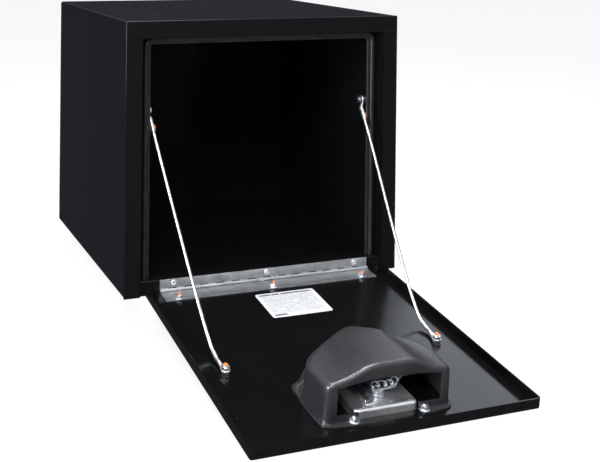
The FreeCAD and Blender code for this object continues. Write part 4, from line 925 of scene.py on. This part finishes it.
def phillips_head(ro, h, seg=48):
    """truss head with a cross recess; z up"""
    m = Mesh()
    nr = 14
    rings = []
    for i in range(nr):
        r = ro * i / (nr - 1)
        ring = []
        for k in range(seg):
            a = 2 * math.pi * k / seg
            x, y = r * math.cos(a), r * math.sin(a)
            z = h * math.sqrt(max(0.0, 1 - (r / ro) ** 2 * 0.96)) * 0.98
            w = 0.62
            arm = 2.1
            d = max(0.0, 1 - (abs(y) / w) ** 4) * max(0.0, 1 - (abs(x) / arm) ** 6)
            e = max(0.0, 1 - (abs(x) / w) ** 4) * max(0.0, 1 - (abs(y) / arm) ** 6)
            z -= 1.0 * max(d, e)
            ring.append(Vector((x, y, z)))
        rings.append(ring)
    rings.append([Vector((ro * math.cos(2 * math.pi * k / seg), ro * math.sin(2 * math.pi * k / seg), 0.0)) for k in range(seg)])
    m.rings(rings, cap0=False, cap1=True)
    return m


scr = Mesh()
for x in HX:
    # face the front: local z -> -Y
    hd = phillips_head(4.3, 1.6)
    mt = Matrix.Translation(Vector((x, 3.3, 15.6))) @ Matrix.Rotation(math.pi / 2, 4, "X") @ Matrix.Rotation(random.uniform(0, 1.5), 4, "Z")
    scr.add([mt @ p for p in hd.v], hd.f)
    sh = threaded(2.0, 3.0, 0.8, 0.2)
    mt = Matrix.Translation(Vector((x, 3.4, 15.6))) @ Matrix.Rotation(-math.pi / 2, 4, "X")
    scr.add([mt @ p for p in sh.v], sh.f)
make("hinge_screws_v", scr.v, scr.f, M_ZINC, BOX, "box", ["hinge_screws"], auto=40)

ab, an, asp, ap = Mesh(), Mesh(), Mesh(), Mesh()
for sg in (-1, 1):
    inn = (-sg, 0, 0)
    out = (sg, 0, 0)
    place(ab, lathe([(0, 2.6), (3.0, 2.55), (4.6, 2.1), (5.2, 1.2), (5.2, 0.0), (3.0, 0.0)], 44), (sg * 192.7, 33.5, 268.5), out)
    place(ab, threaded(3.0, 14.6, 1.0, 0.32, start=8.0), (sg * 192.7, 33.5, 268.5), inn)
    place(asp, washer(5.2, 3.05, 5.7, 0.3), (sg * 190.2, 33.5, 268.5), inn)
    place(an, hexnut(10.0, 4.2, 2.95), (sg * 183.0, 33.5, 268.5), inn, spin=random.uniform(0, 60))
make("anchor_bolts_v", ab.v, ab.f, M_ZINC, BOX, "box", ["anchor_bolts"], auto=35)
make("anchor_spacers_v", asp.v, asp.f, M_ZINC, BOX, "box", ["anchor_spacers"], auto=35)
make("anchor_nuts_v", an.v, an.f, M_ZINC, BOX, "box", ["anchor_nuts"], auto=28)

# ------------------------------------------------------------------ stays
INV = (Matrix.Translation((0, -201.6, 5.4)) @ Matrix.Rotation(DROOP, 4, "X"))


def to_world(p):
    return INV @ p


def stay_poles(sg):
    up = Vector((sg * 180.6, -203.2 + 27.7, 255.0))
    lo = to_world(D(sg * 159.8, 177.5, 9.4))
    d1 = Vector((-0.05 * sg, -0.606, -0.794)).normalized()
    p1 = up + d1 * 97.9
    p2 = to_world(D(sg * 159.8, 177.5 - 33.6, 9.4 + 8.0))
    return [up, p1, p2, lo]


def bez(P, t):
    return P[0] * (1 - t) ** 3 + P[1] * (3 * (1 - t) ** 2 * t) + P[2] * (3 * (1 - t) * t * t) + P[3] * t ** 3


MM = Matrix.Scale(0.001, 4)
for side, sg in (("left", -1), ("right", 1)):
    P = stay_poles(sg)
    n = 520
    path = [bez(P, 0.050 + 0.95 * i / (n - 1)) for i in range(n)]
    L = [0.0]
    for a, b in zip(path, path[1:]):
        L.append(L[-1] + (b - a).length)

    def rope(i, a, L=L):
        ph = a * 1.0 - 2 * math.pi * L[i] / 17.0
        k = 6
        lobe = abs(math.cos(ph * k / 2.0))
        return 2.02 + 0.42 * (1 - (1 - lobe) ** 2) - 0.16
    m = sweep(path, rope, 42)
    ob = make("stay_cable_%s_v" % side, m.v, m.f, M_WIRE, MM, None, ["stay_cable_" + side])
    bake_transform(ob)


def lug(ring_r, hole_r, thick, neck_w, c0, axis, toward, barrel_from, barrel_dir, barrel_len, barrel_r, insp=True):
    """flat ring terminal in a plane with normal axis, tongue toward a barrel"""
    m = Mesh()
    z = Vector(axis).normalized()
    x = (Vector(toward) - z * Vector(toward).dot(z)).normalized()
    y = z.cross(x)
    # outline of ring + tongue, with hole, as two rings of matching points
    n = 64
    tl = (barrel_from - c0).length
    outer, inner = [], []
    for k in range(n):
        a = 2 * math.pi * k / n
        inner.append((hole_r * math.cos(a), hole_r * math.sin(a)))
        ca, sa = math.cos(a), math.sin(a)
        px, py = ring_r * ca, ring_r * sa
        if ca > 0 and abs(sa) * ring_r < neck_w + 1.2:
            f = 1.0 - (abs(py) / (neck_w + 1.2)) ** 4
            px = px + max(0.0, f) * 3.2
        outer.append((px, py))
    ch = 0.22
    def lay(pts, zz, s=1.0):
        return [c0 + x * (p[0] * s) + y * (p[1] * s) + z * zz for p in pts]
    rings = [lay(inner, ch), lay([(p[0] * 1.06, p[1] * 1.06) for p in inner], 0), lay([(p[0] * 0.965, p[1] * 0.965) for p in outer], 0),
             lay(outer, ch), lay(outer, thick - ch), lay([(p[0] * 0.965, p[1] * 0.965) for p in outer], thick),
             lay([(p[0] * 1.06, p[1] * 1.06) for p in inner], thick), lay(inner, thick - ch)]
    m.rings(rings, loop=True)
    # tongue: flat section growing into the round barrel
    p0 = c0 + x * (ring_r * 0.86) + z * (thick / 2)
    bd = barrel_dir.normalized()
    nseg = 28
    stations = []
    nst = 16
    for i in range(nst):
        q = i / (nst - 1)
        e = q * q * (3 - 2 * q)
        pos = p0.lerp(barrel_from, q)
        w = neck_w + (barrel_r - neck_w) * e - 0.9 * math.sin(math.pi * q) * 0.6
        hgt = thick / 2 * 0.98 + (barrel_r - thick / 2) * (e ** 1.3)
        d = (barrel_from - p0).normalized().lerp(bd, e).normalized()
        yy = y
        zz = d.cross(yy).normalized()
        if zz.dot(z) < 0:
            zz = -zz
        ex = 0.45 + 0.55 * e     # superellipse: boxy tongue to round barrel
        ring = []
        for k in range(nseg):
            a = 2 * math.pi * k / nseg
            ca, sa = math.cos(a), math.sin(a)
            ring.append(pos + yy * (w * math.copysign(abs(ca) ** ex, ca)) + zz * (hgt * math.copysign(abs(sa) ** ex, sa)))
        stations.append(ring)
    yy = y
    zz = bd.cross(yy).normalized()
    if zz.dot(z) < 0:
        zz = -zz
    for i in range(1, 17):
        q = i / 16
        pos = barrel_from + bd * (barrel_len * q)
        sq = 0.0
        # two crimps
        for cpos in (0.32, 0.68):
            sq += math.exp(-((q - cpos) / 0.09) ** 2)
        rw = barrel_r * (1 + 0.10 * sq)
        rh = barrel_r * (1 - 0.20 * sq)
        if i == 16:
            rw *= 1.05
            rh *= 1.05
        stations.append([pos + yy * (rw * math.cos(2 * math.pi * k / nseg)) + zz * (rh * math.sin(2 * math.pi * k / nseg)) for k in range(nseg)])
    tail = [barrel_from + bd * (barrel_len - 0.6) + (p - (barrel_from + bd * barrel_len)) * 0.78 for p in stations[-1]]
    stations.append([barrel_from + bd * barrel_len + (p - (barrel_from + bd * barrel_len)) * 0.86 for p in stations[-1]])
    stations.append(tail)
    m.rings(stations)
    # inspection hole, shown as a countersunk dimple ring on the tongue
    if insp:
        pc = p0.lerp(barrel_from, 0.42)
        dm = lathe([(0.0, -0.35), (0.9, -0.30), (1.15, 0.05), (1.5, 0.22), (1.85, 0.05), (1.9, -0.3)], 24)
        q = p0.lerp(barrel_from, 0.42)
        place(m, dm, q + z * (thick / 2 + 0.25), z)
    return m


up_l, lo_l = Mesh(), Mesh()
for sg in (-1, 1):
    P = stay_poles(sg)
    c0 = Vector((sg * 184.5, -203.2 + 33.5, 268.5))
    d = (bez(P, 0.065) - P[0]).normalized()
    t = lug(6.6, 3.1, 1.5, 4.2, c0, (-sg, 0, 0), Vector((0, P[0].y - c0.y, P[0].z - c0.z)), P[0] - d * 1.0, d, 20.0, 3.7)
    up_l.add(t.v, t.f)
    # amber paint mark on the side of the crimp
    ax = d.normalized()
    sx = (Vector((1, 0, 0)) - ax * ax.x).normalized()
    sy = ax.cross(sx)
    cc = P[0] + ax * 11.5 + sx * 3.5
    rg_ = []
    for i in range(11):
        th_ = -math.pi / 2 + math.pi * i / 10
        if i in (0, 10):
            rr2, hh2 = 0.15, math.sin(th_) * 4.3
        else:
            rr2, hh2 = math.cos(th_), math.sin(th_) * 4.3
        rg_.append([cc + ax * hh2 + sx * (rr2 * 1.7 * math.cos(2 * math.pi * k / 20)) * (1 + 0.12 * math.sin(3 * hh2)) + sy * (rr2 * 2.2 * math.sin(2 * math.pi * k / 20)) for k in range(20)])
    ap.rings(rg_)
    c0 = D(sg * 158.0, 212.7, 5.5)
    inv = INV.inverted()
    a, b = inv @ P[3], inv @ P[2]
    tang = (b - a).normalized()
    start = a - tang * 13.0
    t = lug(6.6, 3.1, 1.5, 4.2, c0, (0, 0, 1), (start - c0), start, tang, 14.0, 3.0)
    lo_l.add(t.v, t.f)
make("anchor_patches_v", ap.v, ap.f, M_ORANGE, MM, "box", ["anchor_patches"], auto=180)
make("stay_lugs_upper_v", up_l.v, up_l.f, M_TERM, MM, "box", ["stay_lugs_upper"], auto=50)
make("stay_lugs_lower_v", lo_l.v, lo_l.f, M_TERM, DOOR, "door", ["stay_lugs_lower"], auto=50)

# ------------------------------------------------------------------ door seal
def build_seal():
    ex, ez, zb, r, fy = 185.5, 370.8, 21.15, 5.0, 18.5
    lo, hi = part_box("door_seal")
    ex = hi[0] * 1000 - 9.8
    ez = hi[2] * 1000 - 9.8
    zb = lo[2] * 1000
    P = [(-0.9, fy + 3.0), (-1.2, fy + 2.6), (-1.2, fy - 0.5), (-0.95, fy - 1.05), (-0.4, fy - 1.3), (0.8, fy - 1.42), (1.8, fy - 1.1), (2.6, fy - 1.25)]
    for k in range(13):
        a = math.radians(205 - 200 * k / 12)
        P.append((6.5 + 3.3 * math.cos(a), fy - 2.15 - 3.3 * math.sin(a) if a < math.pi else fy - 2.15 - 3.3 * math.sin(a)))
    P += [(9.5, fy - 0.8), (9.0, fy - 0.1), (8.2, fy), (4.0, fy), (0.1, fy), (0.0, fy + 0.1), (0.0, fy + 1.9), (4.1, fy + 1.9), (4.45, fy + 2.1), (4.5, fy + 2.5),
          (4.35, fy + 2.9), (4.0, fy + 3.1), (1.5, fy + 3.1), (-0.5, fy + 3.1)]
    st = []
    for k in range(9):
        st.append((Vector((-ex, 0, zb + (ez - r - zb) * k / 8)), Vector((-1, 0, 0)), 0))
    for k in range(1, 9):
        a = math.pi - math.pi / 2 * k / 9
        st.append((Vector((-ex + r, 0, ez - r)), Vector((math.cos(a), 0, math.sin(a))), r))
    for k in range(9):
        st.append((Vector((-ex + r + (2 * ex - 2 * r) * k / 8, 0, ez)), Vector((0, 0, 1)), 0))
    for k in range(1, 9):
        a = math.pi / 2 - math.pi / 2 * k / 9
        st.append((Vector((ex - r, 0, ez - r)), Vector((math.cos(a), 0, math.sin(a))), r))
    for k in range(9):
        st.append((Vector((ex, 0, ez - r - (ez - r - zb) * k / 8)), Vector((1, 0, 0)), 0))
    rings = []
    for base, o, rr_ in st:
        rings.append([base + o * (rr_ + u) + Vector((0, v, 0)) for u, v in P])
    m = Mesh()
    m.rings(rings)
    make("door_seal_v", m.v, m.f, M_RUBBER, BOX, "box", ["door_seal"], auto=50)


build_seal()


# ------------------------------------------------------------------ corner welds on the frame
def bead(a, b, r, seed):
    rnd = random.Random(seed)
    n = 60
    path = [Vector(a).lerp(Vector(b), k / (n - 1)) + Vector((0, 0, 0.25 * math.sin(k * 0.9 + seed))) for k in range(n)]
    rad = [r * (0.80 + 0.20 * abs(math.sin(k * 0.75 + seed)) + 0.16 * rnd.random()) * (1 - 0.55 * (abs(k / (n - 1) * 2 - 1)) ** 6) for k in range(n)]
    m = Mesh()
    rings = []
    for k, p in enumerate(path):
        t = (path[min(n - 1, k + 1)] - path[max(0, k - 1)]).normalized()
        side = Vector((0, 1, 0)).cross(t).normalized()
        rings.append([p + side * (rad[k] * 1.5 * math.cos(2 * math.pi * j / 14)) + Vector((0, 1, 0)) * (rad[k] * 0.75 * math.sin(2 * math.pi * j / 14)) for j in range(14)])
    m.rings(rings)
    return m


wl = Mesh()
for a, b, sd in (((-203.6, 0.1, 381.4), (-227.6, 0.1, 395.6), 3), ((203.6, 0.1, 381.2), (227.8, 0.1, 380.4), 8)):
    q = bead(a, b, 0.95, sd)
    wl.add(q.v, q.f)
make("corner_welds", wl.v, wl.f, M_BLACK, BOX, "box", (), auto=180)


# ------------------------------------------------------------------ hinge leaves
KP = 349.25 / 27
HX0 = 3.0 - 349.25 / 2


def knuckle_section(flip, n=22):
    """returns an empty list; the rolled eye section in (a, b), a along the leaf, b off it, with the leaf leaving at a
    > 0, is not built here
    """
    out = []
    return out


def leaf_piece(name, door_side):
    m = Mesh()
    thick = 1.2
    ro, ri = 2.85, 1.64
    parity = 1 if door_side else 0
    for k in range(27):
        if k % 2 != parity:
            continue
        x0, x1 = HX0 + KP * k + 0.125, HX0 + KP * (k + 1) - 0.125
        # rolled eye with an open end and a web into the leaf
        sec_o, sec_i = [], []
        steps = 30
        for i in range(steps + 1):
            a = math.radians(-90 + 330 * i / steps)
            if door_side:
                # leaf plane t 1.5..2.7, eye centre at origin: web leaves toward -y at z -1.8..-0.6
                pass
        prof = []
        if door_side:
            # outer path: start on leaf underside, round the eye, end near the leaf top
            a0, a1 = math.radians(-141), math.radians(-141 + 318)
            for i in range(steps + 1):
                a = a0 + (a1 - a0) * i / steps
                prof.append((ro * math.cos(a), ro * math.sin(a)))
            for i in range(steps, -1, -1):
                a = a0 + (a1 - a0) * i / steps
                prof.append((ri * math.cos(a), ri * math.sin(a)))
            # start side: -y, under side z=-1.8 -> web to the leaf
            prof.append((-3.6, -0.6))
            prof.append((-3.6, -1.8))
            tf = lambda x, p: Vector((x, p[0], p[1]))
        else:
            a0, a1 = math.radians(53), math.radians(53 - 322)
            for i in range(steps + 1):
                a = a0 + (a1 - a0) * i / steps
                prof.append((ro * math.cos(a), ro * math.sin(a)))
            for i in range(steps, -1, -1):
                a = a0 + (a1 - a0) * i / steps
                prof.append((ri * math.cos(a), ri * math.sin(a)))
            prof.append((1.7, 3.6))
            prof.append((2.85, 3.6))
            tf = lambda x, p: Vector((x, 1.6 + p[0], 5.4 + p[1]))
        ch = 0.12
        cx = sum(p[0] for p in prof) / len(prof)
        rings = [[tf(x, p) for p in prof] for x in (x0, x0 + ch, x1 - ch, x1)]
        m.rings(rings)
    # leaf plate with wavy rolled face: a shallow valley near the knuckles
    if door_side:
        prof = [(-3.3, -0.6), (-5.5, -0.62), (-9.0, -0.9), (-12.5, -1.02), (-15.5, -0.72), (-17.0, -0.6), (-27.4, -0.6), (-27.9, -0.75), (-28.0, -1.2),
                (-27.9, -1.65), (-27.4, -1.8), (-3.3, -1.8)]
        rings = [[Vector((x, p[0], p[1])) for p in prof] for x in (HX0, HX0 + 0.2, HX0 + 349.05, HX0 + 349.25)]
    else:
        prof = [(3.3, 8.8), (3.3, 20.9), (3.42, 21.25), (3.7, 21.4), (4.1, 21.4), (4.5, 21.2), (4.5, 8.8)]
        rings = [[Vector((x, p[0], p[1])) for p in prof] for x in (HX0, HX0 + 0.2, HX0 + 349.05, HX0 + 349.25)]
    m.rings(rings)
    if door_side:
        return make(name, m.v, m.f, M_LEAF, DOOR, "door", ["hinge_door_leaf"], auto=25)
    return make(name, m.v, m.f, M_LEAF, BOX, "box", ["hinge_box_leaf"], auto=25)


leaf_piece("hinge_box_leaf_v", False)
leaf_piece("hinge_door_leaf_v", True)

# ------------------------------------------------------------------ sticker
def sticker():
    m, nt, b = nodes_of("sticker_face")
    uv = nt.nodes.new("ShaderNodeUVMap")
    sep = nt.nodes.new("ShaderNodeSeparateXYZ")
    nt.links.new(uv.outputs["UV"], sep.inputs[0])
    u, v = sep.outputs[0], sep.outputs[1]
    rows = mathn(nt, "MULTIPLY", v, 15.0)
    rid = mathn(nt, "FLOOR", rows)
    fr = mathn(nt, "FRACT", rows)
    line = mathn(nt, "MULTIPLY", mathn(nt, "GREATER_THAN", fr, 0.36), mathn(nt, "LESS_THAN", fr, 0.72))
    comb = nt.nodes.new("ShaderNodeCombineXYZ")
    nt.links.new(mathn(nt, "MULTIPLY", u, 60.0), comb.inputs[0])
    nt.links.new(mathn(nt, "MULTIPLY", rid, 3.7), comb.inputs[1])
    words = mathn(nt, "GREATER_THAN", noise(nt, comb.outputs[0], 1.0, 2.0, 0.7), 0.47)
    body = mathn(nt, "MULTIPLY", mathn(nt, "GREATER_THAN", v, 0.16), mathn(nt, "LESS_THAN", v, 0.86))
    edge = mathn(nt, "MULTIPLY", mathn(nt, "GREATER_THAN", u, 0.06), mathn(nt, "LESS_THAN", u, 0.93))
    txt = mathn(nt, "MULTIPLY", mathn(nt, "MULTIPLY", line, words), mathn(nt, "MULTIPLY", body, edge))
    txt = mathn(nt, "MULTIPLY", txt, 0.72)
    # header: heavier dashes, footer: one short dark bar
    comb2 = nt.nodes.new("ShaderNodeCombineXYZ")
    nt.links.new(mathn(nt, "MULTIPLY", u, 26.0), comb2.inputs[0])
    hw = mathn(nt, "GREATER_THAN", noise(nt, comb2.outputs[0], 1.0, 1.0, 0.5), 0.40)
    hd = mathn(nt, "MULTIPLY", mathn(nt, "MULTIPLY", mathn(nt, "GREATER_THAN", v, 0.895), mathn(nt, "LESS_THAN", v, 0.955)), hw)
    hd = mathn(nt, "MULTIPLY", hd, mathn(nt, "MULTIPLY", mathn(nt, "GREATER_THAN", u, 0.05), mathn(nt, "LESS_THAN", u, 0.95)))
    ft = mathn(nt, "MULTIPLY", mathn(nt, "MULTIPLY", mathn(nt, "GREATER_THAN", v, 0.06), mathn(nt, "LESS_THAN", v, 0.115)),
               mathn(nt, "MULTIPLY", mathn(nt, "GREATER_THAN", u, 0.05), mathn(nt, "LESS_THAN", u, 0.26)))
    ink = mathn(nt, "MAXIMUM", mathn(nt, "MAXIMUM", txt, mathn(nt, "MULTIPLY", hd, 0.9)), mathn(nt, "MULTIPLY", ft, 0.9))
    mx = nt.nodes.new("ShaderNodeMix")
    mx.data_type = "RGBA"
    nt.links.new(ink, mx.inputs["Factor"])
    mx.inputs["A"].default_value = (0.62, 0.62, 0.625, 1)
    mx.inputs["B"].default_value = (0.03, 0.03, 0.03, 1)
    nt.links.new(mx.outputs["Result"], b.inputs["Base Color"])
    b.inputs["Roughness"].default_value = 0.38
    vv = tex_coord(nt)
    nt.links.new(bump(nt, noise(nt, vv, 500.0, 2.0), 0.08, 0.0002), b.inputs["Normal"])
    # corners measured on the door floor, in (x, s)
    c = [(-34.8, 35.4), (59.1, 40.8), (60.0, 102.0), (-38.3, 107.3)]
    c = [(-36.5, 38.3), (59.5, 38.3), (59.5, 104.3), (-36.5, 104.3)]
    nx, ny = 24, 16
    top, bot, uvs = [], [], []
    r = 3.0
    def grid(z):
        out = []
        for j in range(ny + 1):
            for i in range(nx + 1):
                a, b_ = i / nx, j / ny
                x = c[0][0] + (c[1][0] - c[0][0]) * a
                s = c[0][1] + (c[3][1] - c[0][1]) * b_
                # pull the corners in
                dx = min(x - c[0][0], c[1][0] - x)
                ds = min(s - c[0][1], c[3][1] - s)
                if dx < r and ds < r:
                    ex, es = r - dx, r - ds
                    d = math.hypot(ex, es)
                    if d > r:
                        k = r / d
                        x += (1 - k) * ex * (1 if x < (c[0][0] + c[1][0]) / 2 else -1)
                        s += (1 - k) * es * (1 if s < (c[0][1] + c[3][1]) / 2 else -1)
                lift = 0.0
                out.append(D(x, s, z + lift))
        return out
    v0 = grid(1.5)
    v1 = grid(1.68)
    faces = []
    w = nx + 1
    o = len(v0)
    for j in range(ny):
        for i in range(nx):
            a = j * w + i
            faces.append((o + a, o + a + w, o + a + w + 1, o + a + 1))
            faces.append((a, a + 1, a + w + 1, a + w))
    rim = [i for i in range(nx)] + [nx + w * j for j in range(ny)] + [ny * w + i for i in range(nx, 0, -1)] + [w * j for j in range(ny, 0, -1)]
    for q in range(len(rim)):
        a, b_ = rim[q], rim[(q + 1) % len(rim)]
        faces.append((a, o + a, o + b_, b_))
    ob = make("data_sticker_v", v0 + v1, faces, m, DOOR, "door", ["data_sticker"], smooth=False)
    me = ob.data
    uvl = me.uv_layers.new(name="UVMap")
    inv = DOOR.inverted()
    for lp_ in me.loops:
        p = inv @ me.vertices[lp_.vertex_index].co
        uvl.data[lp_.index].uv = ((p.x - c[0][0]) / 96.0, 1 - ((-p.y) - c[0][1]) / 66.0)
    return ob


sticker()

# ------------------------------------------------------------------ end of pieces

# ------------------------------------------------------------------ camera
def set_camera():
    yaw, pitch, roll = 0.3226, 0.0047, 0.0098
    fw = Vector((math.sin(yaw) * math.cos(pitch), math.cos(yaw) * math.cos(pitch), -math.sin(pitch)))
    right = Vector((math.cos(yaw), -math.sin(yaw), 0))
    up = right.cross(fw)
    r = right * math.cos(roll) + up * math.sin(roll)
    u = -right * math.sin(roll) + up * math.cos(roll)
    cam = bpy.data.cameras.new("camera")
    ob = bpy.data.objects.new("camera", cam)
    bpy.context.scene.collection.objects.link(ob)
    m = Matrix((r, u, -fw)).transposed().to_4x4()
    m.translation = Vector((-0.6449, -1.3250 - 0.2032, 0.5362))
    ob.matrix_world = m
    cam.sensor_width = 36.0
    cam.lens = 953.8 / 600 * 36
    # rising-front shift: a plain curve over the camera's x position, full at
    # this point and zero anywhere else, so other views stay centred
    rise_x = (300 - 144.6) / 600
    rise_y = (-63.07 - 231) / 600
    here = m.translation.x
    for attr, full in (("shift_x", rise_x), ("shift_y", rise_y)):
        fc = cam.driver_add(attr)
        fc.driver.type = "SUM"
        v = fc.driver.variables.new()
        v.type = "TRANSFORMS"
        v.targets[0].id = ob
        v.targets[0].transform_type = "LOC_X"
        v.targets[0].transform_space = "WORLD_SPACE"
        for mod in list(fc.modifiers):
            fc.modifiers.remove(mod)
        while len(fc.keyframe_points):
            fc.keyframe_points.remove(fc.keyframe_points[0])
        for at, val in ((here - 0.06, 0.0), (here - 0.02, full),
                        (here + 0.02, full), (here + 0.06, 0.0)):
            fc.keyframe_points.insert(at, val)
        for k in fc.keyframe_points:
            k.interpolation = "LINEAR"
        fc.extrapolation = "CONSTANT"
    cam.clip_start = 0.01
    cam.clip_end = 50
    bpy.context.scene.camera = ob
    return ob


cam = set_camera()

# ------------------------------------------------------------------ floor and light
def stage_mesh(name, verts, faces, mat):
    me = bpy.data.meshes.new(name)
    me.from_pydata(verts, [], faces)
    ob = bpy.data.objects.new(name, me)
    bpy.context.scene.collection.objects.link(ob)
    me.materials.append(mat)
    return ob


mf, nt, bs = nodes_of("floor_pale")
v = tex_coord(nt)
nt.links.new(ramp(nt, noise(nt, v, 6.0, 3.0), [(0.3, 0.86), (0.7, 0.89)]), bs.inputs["Base Color"])
bs.inputs["Roughness"].default_value = 0.7
out_node = [q for q in nt.nodes if q.type == "OUTPUT_MATERIAL"][0]
lpf = nt.nodes.new("ShaderNodeLightPath")
em = nt.nodes.new("ShaderNodeEmission")
em.inputs["Color"].default_value = (1, 1, 1, 1)
em.inputs["Strength"].default_value = 1.06
dk = nt.nodes.new("ShaderNodeEmission")
dk.inputs["Color"].default_value = (0.045, 0.048, 0.055, 1)
m1 = nt.nodes.new("ShaderNodeMixShader")
m2 = nt.nodes.new("ShaderNodeMixShader")
fc = mathn(nt, "MULTIPLY", lpf.outputs["Is Camera Ray"], 0.80)
fg = mathn(nt, "MULTIPLY", lpf.outputs["Is Glossy Ray"], 1.0)
nt.links.new(fc, m1.inputs[0])
nt.links.new(bs.outputs[0], m1.inputs[1])
nt.links.new(em.outputs[0], m1.inputs[2])
nt.links.new(fg, m2.inputs[0])
nt.links.new(m1.outputs[0], m2.inputs[1])
nt.links.new(dk.outputs[0], m2.inputs[2])
nt.links.new(m2.outputs[0], out_node.inputs["Surface"])
FZ = -0.0475
stage_mesh("floor", [(-30, -30, FZ), (30, -30, FZ), (30, 30, FZ), (-30, 30, FZ)], [(0, 1, 2, 3)], mf)
bm = bmesh.new()
bmesh.ops.create_cube(bm, size=1.0)
bmesh.ops.scale(bm, vec=(0.36, 0.34, 0.0470), verts=bm.verts)
bmesh.ops.translate(bm, vec=(0, 0.01, FZ + 0.0235), verts=bm.verts)
bmesh.ops.bevel(bm, geom=list(bm.edges), offset=0.003, segments=2, affect="EDGES")
me = bpy.data.meshes.new("plinth")
bm.to_mesh(me)
bm.free()
pl = bpy.data.objects.new("plinth", me)
bpy.context.scene.collection.objects.link(pl)
me.materials.append(mf)

world = bpy.data.worlds.new("world")
bpy.context.scene.world = world
world.use_nodes = True
nt = world.node_tree
bg = nt.nodes["Background"]
lp = nt.nodes.new("ShaderNodeLightPath")
bg.inputs["Color"].default_value = (1, 1, 1, 1)
mx = nt.nodes.new("ShaderNodeMix")
mx.data_type = "RGBA"
nt.links.new(lp.outputs["Is Camera Ray"], mx.inputs["Factor"])
wt = nt.nodes.new("ShaderNodeTexCoord")
ws = nt.nodes.new("ShaderNodeSeparateXYZ")
nt.links.new(wt.outputs["Generated"], ws.inputs[0])
up_ = ramp(nt, ws.outputs["Z"], [(0.0, (0.018, 0.019, 0.022)), (0.2, (0.05, 0.054, 0.062)), (0.5, (0.38, 0.42, 0.50)), (1.0, (0.62, 0.66, 0.74))])
nt.links.new(up_, mx.inputs["A"])
mx.inputs["B"].default_value = (1.06, 1.06, 1.06, 1)
nt.links.new(mx.outputs["Result"], bg.inputs["Color"])
bg.inputs["Strength"].default_value = 1.0


def area(name, loc, target, sx, sy, power, color=(1, 1, 1)):
    li = bpy.data.lights.new(name, "AREA")
    li.shape = "RECTANGLE"
    li.size, li.size_y = sx, sy
    li.energy = power
    li.color = color
    ob = bpy.data.objects.new(name, li)
    bpy.context.scene.collection.objects.link(ob)
    ob.location = loc
    d = Vector(target) - Vector(loc)
    ob.rotation_euler = d.to_track_quat("-Z", "Y").to_euler()
    return ob


area("key", (-1.5, -2.7, 2.2), (0, -0.35, 0.05), 0.9, 0.9, 90)
# the fill lamp lights everything but leaves no glare on the paint; a twin of
# it reaches the bare metal only, which needs something to reflect
area("fill", (1.6, -2.9, 1.3), (0, -0.35, 0.05), 1.2, 1.2, 40).visible_glossy = False
bare = bpy.data.collections.new("bare_metal")
for o in bpy.context.scene.objects:
    if o.type == "MESH" and {sl.material for sl in o.material_slots} & {M_ZINC, M_LEAF, M_DISH, M_TERM, M_SPRING}:
        bare.objects.link(o)
area("fill_metal", (1.6, -2.9, 1.3), (0, -0.35, 0.05), 1.2, 1.2, 62).light_linking.receiver_collection = bare
area("top", (0.1, -0.35, 2.3), (0, -0.3, 0.1), 1.5, 0.9, 46)
area("rim", (1.9, 1.2, 1.7), (0, -0.3, 0.1), 0.9, 1.2, 6.5, (0.93, 0.97, 1.0))
area("edge", (-2.6, -1.2, 0.30), (0, -0.2, 0.2), 0.9, 1.3, 95, (0.88, 0.94, 1.0))

sc = bpy.context.scene
sc.view_settings.view_transform = "Standard"
sc.view_settings.look = "None"
sc.view_settings.exposure = 0.0
